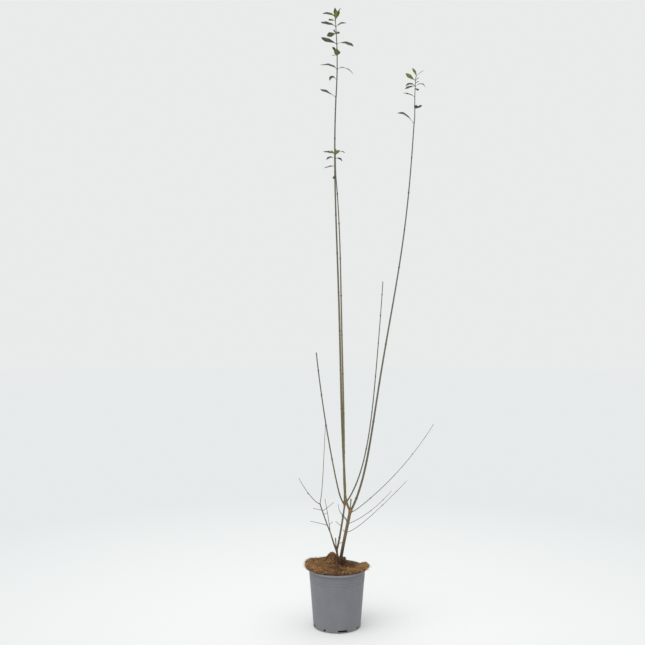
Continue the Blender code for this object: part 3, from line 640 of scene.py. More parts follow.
FIBRE_ENDS = 0.35  # how much of its width a fibre keeps at its ends
TOP_FIBRES = 6800
TOP_LENGTHS = (0.007, 0.026)
TOP_BEND = 1.0  # radians, as the others below
TOP_ARCH = 0.0009
TOP_CLEAR = 0.0004
TOP_DROOP = 0.25  # how fast a fibre sinks past the disc's edge
TOP_END_SUNK = 0.0008
EDGE_FIBRES = 3600
EDGE_ROOT = 0.004  # how far in from the edge a fibre is rooted at most
EDGE_DEPTH = 0.45  # and how far from the disc's middle layer, as a share of its thickness
EDGE_SPLAY = 1.1
EDGE_CURL = 1.4
EDGE_REACHES = (0.002, 0.008)
EDGE_FALLS = (-0.5, 0.35)
EDGE_DRAWN_IN = 0.8  # how much of its reach a fibre keeps
EDGE_FINER = 0.9  # its width, beside a fibre on the top
COIR_TONES = {
    "coir_gold": (208, 166, 112),
    "coir_tan": (170, 125, 82),
    "coir_brown": (112, 74, 47),
    "coir_dark": (48, 31, 20),
}
TOP_PARTS = (0.34, 0.62, 0.82)  # where one tone gives way to the next, from light to dark
EDGE_PARTS = (0.12, 0.36, 0.62)
TUFT_SIZE = 0.0042
TUFT_MIXED = 0.08  # how much chance alone decides
FIBRE_PALE = 1.16  # the light and dark stretches of one fibre, beside its tone
FIBRE_DEEP = 0.80
MOTTLE_RANGE = (0.35, 0.65)  # of a noise pattern, for soft patches
FIBRE_SCALE = 160.0
FIBRE_ROUGHNESS = (0.62, 0.85)
FELT_SCALE = 210.0
FELT_RELIEF = 0.0010
SIDES_PALER = 0.45
SLIT_PAINTED_SHADE = 0.5  # painted shade: how much darker the loose fibres down in the slit are
SLIT_LIFT = 0.0012  # and how high they lie on the compost
SLIT_BED = 0.064  # how far from the middle they lie at most
EDGE_PAINTED_SHADE = 1.1  # painted shade: how much darker the fibres get down the edge, under the disc


def mat_edge(angle):
    """Return the disc's outline radius at an angle."""
    wave = sum(math.sin(lobes * angle + lobes) for lobes in MAT_LOBES) / len(MAT_LOBES)
    tuck = MAT_REAR_TUCK if math.sin(angle) > 0 else MAT_FRONT_TUCK
    return MAT_RADIUS + MAT_RAGGED * wave - tuck * math.sin(angle) ** MAT_TUCK_POWER


def frayed_edge(angle):
    """Return the outline radius with its frayed tufts."""
    return mat_edge(angle) + MAT_FRAY * lumpiness(math.cos(angle), math.sin(angle), MAT_TUFTS)


def mat_middle(x, y):
    """Return the height of the disc's middle surface: up over the rim, and up at the flap."""
    share = min(max((math.hypot(x, y) - MAT_STEP_IN) / (MAT_STEP_OUT - MAT_STEP_IN), 0), 1)
    over_rim = share * share * (3 - 2 * share)
    low = COMPOST_TOP + MAT_THICKNESS / 2
    high = POT_TOP + MAT_PROUD + MAT_THICKNESS / 2
    from_flap = math.hypot(x - FLAP_PLACE[0], y - FLAP_PLACE[1]) / FLAP_SPREAD
    from_curl = math.hypot(x - CURL_PLACE[0], y - CURL_PLACE[1]) / CURL_SPREAD
    lifted = FLAP_HEIGHT * math.exp(-(from_flap**FLAP_POWER)) + CURL_HEIGHT * math.exp(-(from_curl**2))
    return low + (high - low) * over_rim + lifted


def edge_round(x, y):
    """Return how full the felt is at a place: 1 inside, and 0 at its edge."""
    radius = math.hypot(x, y)
    inward = (mat_edge(math.atan2(y, x)) - radius) / (MAT_THICKNESS / 2)
    return math.sqrt(1 - (1 - min(max(inward, 0), 1)) ** 2)


def mat_top(x, y):
    """Return the height of the disc's felted top."""
    above = MAT_THICKNESS / 2 * edge_round(x, y) + MAT_LUMPS * lumpiness(x, y, MAT_FELT)
    return mat_middle(x, y) + max(above, MAT_EDGE)


def mat_bottom(x, y):
    """Return the height of the disc's underside."""
    return mat_middle(x, y) - MAT_THICKNESS / 2 * edge_round(x, y) - MAT_EDGE


def prism(name, outline, bottom, top):
    """Return an upright prism over a flat outline."""
    count = len(outline)
    points = [(x, y, z) for z in (bottom, top) for x, y in outline]
    faces = [tuple(range(count))[::-1], tuple(range(count, 2 * count))]
    faces += [(i, (i + 1) % count, count + (i + 1) % count, count + i) for i in range(count)]
    return add_piece(name, points, faces, [])


def fibres(name, lines, widths, finishes, kinds):
    """Return one joined piece of three-sided fibres that taper to both ends."""
    count, length = lines.shape[:2]
    along = np.gradient(lines, axis=1)
    along /= np.linalg.norm(along, axis=2, keepdims=True)
    aside = np.cross(along, rng.normal(size=(count, 1, 3)))
    aside /= np.linalg.norm(aside, axis=2, keepdims=True)
    above = np.cross(along, aside)
    share = np.linspace(0, 1, length)
    taper = (FIBRE_ENDS + (1 - FIBRE_ENDS) * np.sin(math.pi * share) ** 0.5)[None, :, None]
    corners = []
    for corner in range(3):
        angle = math.tau * corner / 3
        outward = aside * math.cos(angle) + above * math.sin(angle)
        corners.append(lines + outward * taper * np.asarray(widths)[:, None, None])
    points = np.stack(corners, axis=2).reshape(-1, 3)
    first = (np.arange(count)[:, None] * length + np.arange(length - 1)[None, :]).reshape(-1, 1) * 3
    sides = np.array([[0, 1, 4, 3], [1, 2, 5, 4], [2, 0, 3, 5]])
    walls = (first[:, :, None] + sides[None]).reshape(-1, 4)
    start = np.arange(count)[:, None] * length * 3
    caps = np.concatenate([start + [[2, 1, 0]], start + (length - 1) * 3 + [[0, 1, 2]]])
    kinds = np.concatenate([np.repeat(kinds, (length - 1) * 3), kinds, kinds])
    return add_piece(name, points.tolist(), walls.tolist() + caps.tolist(), finishes, kinds)


def tuft_tones(lines, parts, darker):
    """Deal out tones by their parts. Fibres of one tuft are mostly alike, and a bias makes some darker, which
    paints shade in the slit and under the disc's edge.
    """
    tufts = np.array([noise.noise(Vector(line[FIBRE_POINTS // 2]) / TUFT_SIZE) for line in lines])
    tufts += darker + rng.normal(0, TUFT_MIXED, len(lines))
    return np.searchsorted(parts, tufts.argsort().argsort() / len(lines))


def mottled(tree, pattern, colour, deepest, palest):
    """Return a colour socket that a noise pattern varies between two shades of one colour."""
    deep, pale = [[min(255, channel * share) for channel in colour] for share in (deepest, palest)]
    return blend(tree, rescale(tree, pattern, *MOTTLE_RANGE), linear(deep), linear(pale))


def coir_finish(name, colour):
    """Return the finish of one tone of coconut fibre, with paler and darker stretches."""
    material, tree, shader, place = new_finish(name)
    patches = noise_socket(tree, place, FIBRE_SCALE, 4.0, 0.65)
    wire(tree, shader, {
        "Base Color": mottled(tree, patches, colour, FIBRE_DEEP, FIBRE_PALE),
        "Roughness": rescale(tree, patches, *PATTERN_RANGE, *FIBRE_ROUGHNESS),
        "Specular IOR Level": 0.3,
    })
    return material


def lying_fibre(x, y):
    """Return the points of a bent fibre that lies on the disc, or on the compost in its slit."""
    heading, bend = rng.uniform(0, math.tau), rng.normal(0, TOP_BEND)
    length = rng.uniform(*TOP_LENGTHS)
    lift = rng.exponential(TOP_ARCH)
    line = []
    for share in np.linspace(-0.5, 0.5, FIBRE_POINTS):
        turn = heading + bend * share
        px, py = x + length * share * math.cos(turn), y + length * share * math.sin(turn)
        arch = lift * (1 - 4 * share * share) + TOP_CLEAR
        past = max(math.hypot(px, py) - mat_edge(math.atan2(py, px)), 0)
        bed = COMPOST_TOP + SLIT_LIFT if in_outline(px, py, SLIT) else mat_top(px, py)
        sunk = TOP_END_SUNK if abs(share) == 0.5 else 0
        line.append((px, py, bed + arch - TOP_DROOP * past - sunk))
    return line


def edge_place(angle):
    """Return a place just inside the disc's edge."""
    radius = mat_edge(angle) - rng.uniform(0, EDGE_ROOT)
    return radius * math.cos(angle), radius * math.sin(angle)


def edge_fibre(x, y, angle, depth):
    """Return the points of a curled fibre that stands out of the disc's edge."""
    start = Vector((x, y, mat_middle(x, y) - depth * MAT_THICKNESS))
    heading = angle + rng.normal(0, EDGE_SPLAY)
    reach = rng.uniform(*EDGE_REACHES)
    fall, curl = rng.uniform(*EDGE_FALLS), rng.normal(0, EDGE_CURL)
    line = []
    for share in np.linspace(0, 1, FIBRE_POINTS):
        turn = heading + curl * share
        step = Vector((math.cos(turn), math.sin(turn), fall * share)) * (reach * share)
        line.append(tuple(start + step * EDGE_DRAWN_IN))
    return line


felt_tones = [COIR_TONES[name] for name in ("coir_dark", "coir_brown", "coir_tan")]
felt = earth_finish("felted_coir", felt_tones, FELT_SCALE, FELT_RELIEF)
coir = [coir_finish(name, colour) for name, colour in COIR_TONES.items()]
mat = polar_solid("coir_disc", frayed_edge, MAT_RINGS, MAT_SPOKES, mat_top, mat_bottom, [felt])
subtract(mat, [prism("slit_cutter", SLIT, *[COMPOST_TOP + level for level in SLIT_CUT])])
mat.data.shade_smooth()

lines, aside = [], []
while len(lines) < TOP_FIBRES:
    angle, radius = rng.uniform(0, math.tau), math.sqrt(rng.random())
    radius *= mat_edge(angle)
    x, y = radius * math.cos(angle), radius * math.sin(angle)
    clear = all(math.hypot(x - hx, y - hy) > hr for hx, hy, hr in STEM_HOLES)
    loose = in_outline(x, y, SLIT)
    if not clear or (loose and radius > SLIT_BED):
        continue
    lines.append(lying_fibre(x, y))
    # Painted shade: loose fibres down in the slit get darker tones.
    aside.append(abs(x) / MAT_RADIUS - (SLIT_PAINTED_SHADE if loose else 0))
top_fibres = fibres(
    "coir_top_fibres", np.array(lines), rng.uniform(*FIBRE_WIDTHS, TOP_FIBRES), coir,
    tuft_tones(lines, TOP_PARTS, -SIDES_PALER * np.array(aside)),
)
lines, depths = [], []
for number in range(EDGE_FIBRES):
    angle = rng.uniform(0, math.tau)
    x, y = edge_place(angle)
    if in_outline(x, y, SLIT):
        angle += math.pi
        x, y = edge_place(angle)
    depths.append(rng.uniform(-EDGE_DEPTH, EDGE_DEPTH))
    lines.append(edge_fibre(x, y, angle, depths[-1]))
# Painted shade: fibres rooted low in the edge get darker tones, as the shade under the disc.
edge_fibres = fibres(
    "coir_edge_fibres", np.array(lines), rng.uniform(*FIBRE_WIDTHS, EDGE_FIBRES) * EDGE_FINER, coir,
    tuft_tones(lines, EDGE_PARTS, EDGE_PAINTED_SHADE * np.array(depths)),
)
for piece in (mat, top_fibres, edge_fibres):
    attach(piece, "root")
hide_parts("coir_mat")


# Trunk and pruned boughs
# Two stems stand in the compost. They were cut back low and healed over as lumpy knots that
# the new canes spring from. Their bark is old and grey-brown, with furrows and pores, and it
# darkens towards the foot with compost stain and painted contact shade.
STEM_FEET = {"trunk": (0.0075, 0.0), "left_stem": (0.0051, 0.0085)}
FOOT_LIFT = 0.0003  # from the compost's level to where a stem is measured from
FOOT_SINK = 0.006  # and on down into the compost
LINE_STEPS = 160
JOINT_SPACING = 0.108
JOINT_YOUNG = 0.65
JOINT_FADE = 0.12
JOINT_AGED = 0.78  # how much of its swelling a joint has beside the next one up
JOINT_LEAST = 0.35
JOINT_CLEAR = 0.030
JOINT_SWELL = 0.17
JOINT_REACH = 0.0026
JOINT_DARK_REACH = 0.7  # of the swelling's reach
JOINT_LOBES = 0.28  # how far a joint stands out on two of its sides
JOINT_LOBE_POWER = 3  # and how narrow those places are
TAPER_POWER = 0.8
FLARE_REACH = 0.012
KNOT_REACH = 0.006
KNOT_BACK = 0.004  # from the pruned end to the knot's thickest place
KNOT_LEAST = 0.3  # a limb's knot is lumpy from this share on
KNOT_LUMPS = 0.55
KNOT_GRAIN = 0.0055
BURL_FINE = 1.4  # how quickly a kind of relief changes around a limb, as for the three below
FURROW_FINE = 2.4
LUMP_FINE = 0.9
GRAIN_FINE = 6
LUMP_SHORT = 1.7  # and along it, beside a furrow
GRAIN_SHORT = 3
FURROW_DEEP = 0.9  # strengths of the kinds of relief
LUMP_DEEP = 0.5
GRAIN_DEEP = 0.3
BURL_GRAIN = 0.4
RELIEF_RAISED = 0.25  # so that furrows leave the mean radius as it is
LIMB_SEED = 3.7
END_RINGS = 7
END_ROUND = 0.96  # how far the last ring is round the end, as a share of a quarter turn
CUT_RING = 2  # the ring of a cut end from which its wood shows
BUD_LENGTH = 0.0026
BUD_WIDTH = 0.0013
BUD_ABOVE = 0.0008  # from the middle of its joint
BUD_SEAT = 0.95  # where it is rooted, as a share of the radius there
BUD_SLANT = (0.31, 0.72, 0.62)  # a direction that no bud points in
BUD_LEAN = 24
BUD_SIDES = 8
BUD_PROFILE = ((0.0, 0.60), (0.2, 0.95), (0.45, 1.0), (0.7, 0.72), (0.9, 0.34), (1.0, 0.06))
PLANT_TOP = 1.7
OLD_BARK_STOPS = (  # a height as a share of the plant's, and the colour there
    (0.09, (60, 36, 19)), (0.107, (74, 51, 33)), (0.125, (94, 76, 56)), (0.145, (122, 101, 74)),
    (0.19, (127, 104, 76)), (0.24, (116, 94, 66)),
)
LIMB_BARK_STOPS = (
    (0.09, (84, 52, 30)), (0.12, (106, 88, 62)), (0.17, (122, 114, 92)), (0.21, (134, 122, 96)),
    (0.24, (132, 108, 74)),
)
STREAK_SHADE = 0.70
STREAK_SCALE = 1500.0
STREAK_STRETCH = 0.06  # scale along a stem, beside the scale around it
STREAK_RANGE = (0.38, 0.62)
STREAK_RELIEF = 0.00022
PORE_PALE = (150, 134, 110)
PORE_SCALE = 330.0
PORE_STRETCH = 1.7
PORE_RANGE = (0.14, 0.22)  # from where a pore fades to its edge, beside the pores' spacing
PORE_SHARE = 0.5
PORE_RELIEF = 0.00010
FILM_PALE = (142, 134, 120)
FILM_SCALE = 130.0
FILM_RANGE = (0.50, 0.62)
JOINT_DARK = (62, 50, 38)
KNOT_TAN = (158, 108, 72)
MASK_SHARE = 0.65  # strength of the joints' and knots' own colours
BARK_GRIME_AND_SHADE_REACH = 0.05
BARK_GRIME_AND_SHADE_SCALE = 160.0
BARK_ROUGHNESS = (0.88, 0.68)
BUD_BROWN = (78, 58, 42)
CUT_WOOD = (74, 62, 50)
PLAIN_RELIEF = 0.0002
PLAIN_STRAY = (-0.05, 0.07)  # how far a plain finish strays from its roughness
BARK, BUD, CUT = range(3)  # finishes of a limb


class Limb(NamedTuple):
    """One tapering limb: where it starts, how it leans, and how thick it is."""

    parent: str  # the limb it grows from, or "" for one that stands in the compost
    share: float  # how far along the parent it starts
    heading: float
    length: float
    leans: tuple  # at the root, along the limb, and at the tip
    settle: float  # distance over which the root's lean gives way
    widths: tuple  # at the root and at the tip
    knot: float = 0.0  # how much wider the pruned end is, as a share
    flare: float = 0.0  # and the foot
    first_joint: float = 0.0  # from the tip down to the first leaf joint; 0 for none
    leafy_above: float = 0.0  # length of the leafy shoot that goes on above the tip
    sway: tuple = (0.0, 0.0)  # degrees of one slow wave, and the share of it gone at the root


class Bark(NamedTuple):
    """How finely a limb's bark is made, and how rough it is."""

    sides: int
    spacing: float
    relief: float  # furrows and lumps, as a share of the radius
    furrow: float  # length of a furrow
    blunt: float = 0.6  # how far the end is rounded, in radii
    cut: bool = False  # whether the end shows cut wood


OLD_WOOD = {
    "trunk": Limb(
        "", 0, 5, 0.1664, (2.5, 10.9, 12), 0.020, (0.0090, 0.0083), knot=0.45, flare=0.08,
    ),
    "left_stem": Limb(
        "", 0, 200, 0.0521, (-0.8, 16.3, 8.3), 0.013, (0.0059, 0.0054), knot=0.28, flare=0.08,
    ),
    "rear_bough": Limb(
        "left_stem", 0.89, 60.8, 0.1362, (33.1, 24, 16.1), 0.018, (0.0056, 0.0048),
        knot=1.35, first_joint=0.041,
    ),
    "low_left_bough": Limb("left_stem", 0.87, 198.5, 0.0543, (28.2, 16.5, 17.1), 0.012, (0.0050, 0.0036)),
}
OLD_SKIN = Bark(sides=36, spacing=0.0007, relief=0.10, furrow=0.011, blunt=0.8)


def limb_lean(limb, distances):
    """Return a limb's lean from the vertical, in radians, at distances from its root."""
    at_root, along, at_tip = limb.leans
    degrees, gone = limb.sway
    shares = distances / limb.length
    lean = along + (at_tip - along) * shares + (at_root - along) * np.exp(-distances / limb.settle)
    return np.radians(lean + degrees * np.sin(2 * np.pi * (shares + gone)))


def centre_line(root, limb):
    """Walk up a limb from its root, and return distances and the points there."""
    distances = np.linspace(0, limb.length, LINE_STEPS + 1)
    lean = limb_lean(limb, (distances[:-1] + distances[1:]) / 2)
    step = limb.length / LINE_STEPS
    out = np.concatenate([[0], np.cumsum(np.sin(lean))]) * step
    up = np.concatenate([[0], np.cumsum(np.cos(lean))]) * step
    heading = math.radians(limb.heading)
    return distances, np.column_stack([out * math.cos(heading), out * math.sin(heading), up]) + root


def place_on(line, distance):
    """Return the point at a distance along a centre line, or the points at several."""
    distances, points = line
    return np.stack([np.interp(distance, distances, points[:, axis]) for axis in range(3)], axis=-1)


def joint_places(limb):
    """Return the distances along a limb of its leaf joints."""
    places = []
    below_tip = limb.first_joint
    while limb.first_joint and limb.length - below_tip > JOINT_CLEAR:
        places.append(limb.length - below_tip)
        young = math.exp(-(below_tip + limb.leafy_above) / JOINT_FADE)
        below_tip += JOINT_SPACING * (1 - JOINT_YOUNG * young)
    return places


def joint_mask(distances, joints, reach):
    """Return how near each distance is to a joint: 1 at the topmost, and less at older ones."""
    mask = np.zeros(len(distances))
    for age, joint in enumerate(joints):
        swollen = max(JOINT_AGED**age, JOINT_LEAST)
        mask = np.maximum(mask, swollen * np.exp(-(((distances - joint) / reach) ** 2)))
    return mask


def knot_mask(limb, distances):
    """Return how near each distance is to the thickest place of a pruned end."""
    return np.exp(-(((limb.length - KNOT_BACK - distances) / KNOT_REACH) ** 2))


def limb_radii(limb, distances, joints):
    """Return a limb's radius at distances from its root."""
    foot, tip = limb.widths
    distances = np.clip(distances, 0, None)
    radii = (foot + (tip - foot) * (distances / limb.length) ** TAPER_POWER) / 2
    swell = limb.flare * np.exp(-distances / FLARE_REACH) + limb.knot * knot_mask(limb, distances)
    return radii * (1 + swell + JOINT_SWELL * joint_mask(distances, joints, JOINT_REACH))


def limb_frame(limb, distances):
    """Return a limb's forward, level and upper directions at distances from its root."""
    lean = limb_lean(limb, np.clip(distances, 0, None))[:, None]
    heading = math.radians(limb.heading)
    outward = np.array([math.cos(heading), math.sin(heading), 0])
    level = np.array([-math.sin(heading), math.cos(heading), 0])
    forward = outward * np.sin(lean) + np.array([0, 0, 1]) * np.cos(lean)
    return forward, level, np.cross(forward, level)


def ring_faces(rings, sides, start=0):
    """Return the faces of a tube of rings, with both ends closed."""
    faces = []
    for ring in range(rings - 1):
        a, b = start + ring * sides, start + (ring + 1) * sides
        faces += [(a + i, a + (i + 1) % sides, b + (i + 1) % sides, b + i) for i in range(sides)]
    last = start + (rings - 1) * sides
    return faces + [tuple(range(start, start + sides))[::-1], tuple(range(last, last + sides))]


def bud_parts(base, direction, start):
    """Return the points and faces of one pointed bud."""
    aside = np.cross(direction, BUD_SLANT)
    aside /= np.linalg.norm(aside)
    above = np.cross(direction, aside)
    points = []
    for share, width in BUD_PROFILE:
        for angle in np.arange(BUD_SIDES) * math.tau / BUD_SIDES:
            outward = aside * math.cos(angle) + above * math.sin(angle)
            points.append(base + direction * BUD_LENGTH * share + outward * BUD_WIDTH / 2 * width)
    return points, ring_faces(len(BUD_PROFILE), BUD_SIDES, start)


def joint_buds(limb, line, joints, start):
    """Return the points and faces of two buds at each joint, each pair across the one before."""
    points, faces = [], []
    lean_out = math.radians(BUD_LEAN)
    for number, joint in enumerate(joints):
        here = np.array([joint + BUD_ABOVE])
        forward, level, upper = limb_frame(limb, here)
        radius = limb_radii(limb, here, joints)[0]
        for angle in (number * math.pi / 2, number * math.pi / 2 + math.pi):
            outward = level * math.cos(angle) + upper[0] * math.sin(angle)
            direction = outward * math.sin(lean_out) + forward[0] * math.cos(lean_out)
            base = place_on(line, joint) + outward * radius * BUD_SEAT
            more, sides = bud_parts(base, direction, start + len(points))
            points += more
            faces += sides
    return points, faces


def limb_noise(angle, along, fine, shift):
    """Return soft noise around and along a limb, shifted so that each limb has its own."""
    x, y, z = shift
    return noise.noise(Vector((math.cos(angle) * fine + x, math.sin(angle) * fine + y, along + z)))


def bark_height(bark, angle, distance, seed, at_knot):
    """Return how far the bark stands out at one place on a limb, as a share of the radius."""
    along = distance / bark.furrow
    furrow = limb_noise(angle, along, FURROW_FINE, (seed, 0, 0))
    lump = limb_noise(angle, along * LUMP_SHORT, LUMP_FINE, (0, seed, 0))
    grain = limb_noise(angle, along * GRAIN_SHORT, GRAIN_FINE, (0, 0, seed))
    burl = limb_noise(angle, distance / KNOT_GRAIN, BURL_FINE, (seed, 0, 0))
    relief = LUMP_DEEP * lump + GRAIN_DEEP * grain - FURROW_DEEP * abs(furrow) + RELIEF_RAISED
    return bark.relief * relief + KNOT_LUMPS * at_knot * (burl + BURL_GRAIN * grain)


def skin_parts(name, bark, sink=0.0):
    """Return a limb's points, faces, finish numbers, and joint and knot masks."""
    limb, line = grown[name]
    joints = joint_places(limb)
    rounding = min(bark.blunt * limb_radii(limb, np.array([limb.length]), joints)[0], limb.length / 3)
    quarter = np.linspace(0, END_ROUND, END_RINGS) * math.pi / 2
    body = np.arange(-sink, limb.length - rounding - bark.spacing / 2, bark.spacing)
    distances = np.concatenate([body, limb.length - rounding * (1 - np.sin(quarter))])
    radii = limb_radii(limb, distances, joints)
    radii[len(body):] *= np.cos(quarter)
    forward, level, upper = limb_frame(limb, distances)
    centres = place_on(line, distances) + forward * np.minimum(distances, 0)[:, None]
    at_joint = joint_mask(distances, joints, JOINT_REACH * JOINT_DARK_REACH)
    at_knot = knot_mask(limb, distances) * (limb.knot > KNOT_LEAST)
    angles = np.arange(bark.sides) * math.tau / bark.sides
    seed = len(grown) * LIMB_SEED
    points = np.empty((len(distances), bark.sides, 3))
    for ring, distance in enumerate(distances):
        passed = sum(1 for joint in joints if joint < distance + JOINT_SPACING / 3)
        for side, angle in enumerate(angles):
            outward = level * math.cos(angle) + upper[ring] * math.sin(angle)
            rough = bark_height(bark, angle, distance, seed, at_knot[ring])
            across = abs(math.cos(angle - passed * math.pi / 2))
            rough += JOINT_LOBES * at_joint[ring] * across**JOINT_LOBE_POWER
            points[ring, side] = centres[ring] + outward * radii[ring] * (1 + rough)
    points = list(points.reshape(-1, 3))
    faces = ring_faces(len(distances), bark.sides)
    kinds = [BARK] * len(faces)
    if bark.cut:
        end_face = (len(body) + CUT_RING) * bark.sides
        kinds[end_face:] = [CUT] * (len(faces) - end_face)
    buds, bud_faces = joint_buds(limb, line, joints, len(points))
    kinds += [BUD] * len(bud_faces)
    masks = [np.repeat(mask, bark.sides).tolist() + [0.0] * len(buds) for mask in (at_joint, at_knot)]
    return points + buds, faces + bud_faces, kinds, masks


def join_parts(name, parts, bark):
    """Return one piece from the parts of some limbs, with their masks kept on its points."""
    points, faces, kinds, masks = [], [], [], [[], []]
    for more_points, more_faces, more_kinds, more_masks in parts:
        faces += [tuple(corner + len(points) for corner in face) for face in more_faces]
        points += more_points
        kinds += more_kinds
        masks = [mask + more for mask, more in zip(masks, more_masks)]
    piece = add_piece(name, points, faces, [bark, bud_scale, cut_wood], kinds)
    for label, mask in zip(("joint", "knot"), masks):
        piece.data.attributes.new(label, "FLOAT", "POINT").data.foreach_set("value", mask)
    return piece


def grow(name, limb):
    """Note a limb and its centre line, which starts on its parent's."""
    if limb.parent:
        parent, line = grown[limb.parent]
        root = place_on(line, limb.share * parent.length)
    else:
        root = np.array((*STEM_FEET[name], COMPOST_TOP + FOOT_LIFT))
    grown[name] = (limb, centre_line(root, limb))


def ramp(tree, value, stops):
    """Return a colour socket that runs through colours placed along a value."""
    node = put(tree, "ShaderNodeValToRGB", {"Fac": value})
    elements = node.color_ramp.elements
    elements.remove(elements[1])
    for index, (place, colour) in enumerate(stops):
        element = elements.new(place) if index else elements[0]
        element.position = place
        element.color = linear(colour)
    return node.outputs["Color"]


# Bark grain: fine streaks along a stem, pale breathing pores, and patches of thin grey film.
grain_effect, entry, result = new_effect(
    "bark_grain",
    [("Vector", "NodeSocketVector", None)],
    [("Streaks", "NodeSocketFloat"), ("Pores", "NodeSocketFloat"), ("Film", "NodeSocketFloat")],
)
drawn_out = stretched(grain_effect, entry["Vector"], (1, 1, STREAK_STRETCH))
squat = stretched(grain_effect, entry["Vector"], (1, 1, PORE_STRETCH))
cells = put(grain_effect, "ShaderNodeTexVoronoi", {"Vector": squat, "Scale": PORE_SCALE})
cloudy = noise_socket(grain_effect, entry["Vector"], FILM_SCALE, 5.0, 0.65)
wire(grain_effect, result, {
    "Streaks": noise_socket(grain_effect, drawn_out, STREAK_SCALE, 4.0, 0.6),
    "Pores": rescale(grain_effect, cells.outputs["Distance"], *PORE_RANGE, 1.0, 0.0),
    "Film": rescale(grain_effect, cloudy, *FILM_RANGE),
})


def bark_finish(name, stops, film, grime_and_shade=0.0):
    """Return a bark whose colour changes with height, with its grain, joints and knots."""
    material, tree, shader, place = new_finish(name)
    height = height_of(tree, place)
    look = put(tree, "ShaderNodeGroup", {"Vector": place}, node_tree=grain_effect).outputs
    shade = ramp(tree, rescale(tree, height, 0, PLANT_TOP), stops)
    darker = {0: 1.0, 6: shade, 7: [STREAK_SHADE] * 3 + [1]}
    deep = put(tree, "ShaderNodeMix", darker, data_type="RGBA", blend_type="MULTIPLY").outputs[2]
    shade = blend(tree, rescale(tree, look["Streaks"], *STREAK_RANGE), deep, shade)
    shade = tinted(tree, shade, look["Film"], film, FILM_PALE)
    shade = tinted(tree, shade, look["Pores"], PORE_SHARE, PORE_PALE)
    for label, colour in (("joint", JOINT_DARK), ("knot", KNOT_TAN)):
        mask = put(tree, "ShaderNodeAttribute", attribute_name=label).outputs["Fac"]
        shade = tinted(tree, shade, mask, MASK_SHARE, colour)
    # Compost stain and painted contact shade darken the bark just above the compost.
    low_down = {
        "Vector": place, "Height": height, "Full": COMPOST_TOP,
        "Gone": COMPOST_TOP + BARK_GRIME_AND_SHADE_REACH, "Scale": BARK_GRIME_AND_SHADE_SCALE,
    }
    dust = put(tree, "ShaderNodeGroup", low_down, node_tree=grime).outputs["Mask"]
    uneven = math_socket(tree, "MULTIPLY", look["Streaks"], STREAK_RELIEF)
    uneven = math_socket(tree, "MULTIPLY_ADD", look["Pores"], PORE_RELIEF, uneven)
    wire(tree, shader, {
        "Base Color": tinted(tree, shade, dust, grime_and_shade, COMPOST_DAMP_AND_SHADE),
        "Roughness": rescale(tree, look["Streaks"], *PATTERN_RANGE, *BARK_ROUGHNESS),
        "Specular IOR Level": 0.25,
        "Normal": raised(tree, uneven, 0.8),
    })
    return material


def plain_finish(name, colour, spread, roughness, scale):
    """Return a finish of one colour that varies softly in shade and in gloss."""
    material, tree, shader, place = new_finish(name)
    cloud = noise_socket(tree, place, scale, 4.0, 0.6)
    wire(tree, shader, {
        "Base Color": mottled(tree, cloud, colour, 1 - spread, 1 + spread),
        "Roughness": rescale(tree, cloud, *PATTERN_RANGE, *[roughness + stray for stray in PLAIN_STRAY]),
        "Normal": raised(tree, math_socket(tree, "MULTIPLY", cloud, PLAIN_RELIEF), 0.5),
    })
    return material


trunk_bark = bark_finish("trunk_bark", OLD_BARK_STOPS, film=0.15, grime_and_shade=0.7)
old_bark = bark_finish("old_bark", LIMB_BARK_STOPS, film=0.15, grime_and_shade=0.7)
bud_scale = plain_finish("bud_scale", BUD_BROWN, spread=0.25, roughness=0.6, scale=900.0)
cut_wood = plain_finish("cut_wood", CUT_WOOD, spread=0.25, roughness=0.85, scale=1200.0)
grown = {}
for name, limb in OLD_WOOD.items():
    grow(name, limb)
    sink = 0.0 if limb.parent else FOOT_SINK
    bark = trunk_bark if name == "trunk" else old_bark
    piece = join_parts(f"{name}_bark", [skin_parts(name, OLD_SKIN, sink)], bark)
    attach(piece, "root")
    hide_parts(name)


# Canes
# Long straight shoots of the last two years grow from the knots. Their bark is smooth, olive
# to grey, with pale pores, and pairs of buds sit at the dark joints that have lost their leaves.
CANES = {
    "tall_cane": Limb(
        "rear_bough", 0.971, 140, 1.1202, (-2.6, 7.2, -3), 0.045, (0.0066, 0.0038),
        first_joint=0.109, leafy_above=0.221, flare=0.3, sway=(-2.5, 0.014),
    ),
    "middle_cane": Limb(
        "trunk", 0.958, 200, 0.9084, (33.6, -3.7, 5.8), 0.040, (0.0062, 0.0029),
        first_joint=0.042, leafy_above=0.068, sway=(1.87, -0.033),
    ),
    "right_cane": Limb(
        "trunk", 0.934, 20, 1.0848, (34.6, 5.8, 7.7), 0.124, (0.0062, 0.0030),
        first_joint=0.092, leafy_above=0.126, sway=(-3.6, 0.242),
    ),
    "left_cane": Limb(
        "rear_bough", 0.953, 215, 0.4403, (59.7, 15.2, 7.4), 0.015, (0.0039, 0.0031),
        first_joint=0.050, leafy_above=0.02,
    ),
    "inner_cane": Limb(
        "rear_bough", 0.944, -35, 0.639, (38.8, 10.6, 2.5), 0.106, (0.0041, 0.0022),
        first_joint=0.036, sway=(1.3, 0.302),
    ),
}
CANE_SKIN = Bark(sides=20, spacing=0.0015, relief=0.07, furrow=0.020)
YOUNG_BARK_STOPS = (
    (0.15, (126, 106, 74)), (0.19, (124, 106, 66)), (0.24, (124, 110, 72)), (0.31, (116, 106, 76)),
    (0.40, (126, 116, 90)), (0.62, (118, 112, 95)), (0.80, (110, 105, 94)), (0.95, (106, 104, 88)),
)
GREY_BARK_STOPS = (
    (0.19, (108, 98, 74)), (0.24, (112, 106, 86)), (0.31, (112, 108, 92)), (0.62, (112, 108, 98)),
    (0.95, (106, 104, 92)),
)

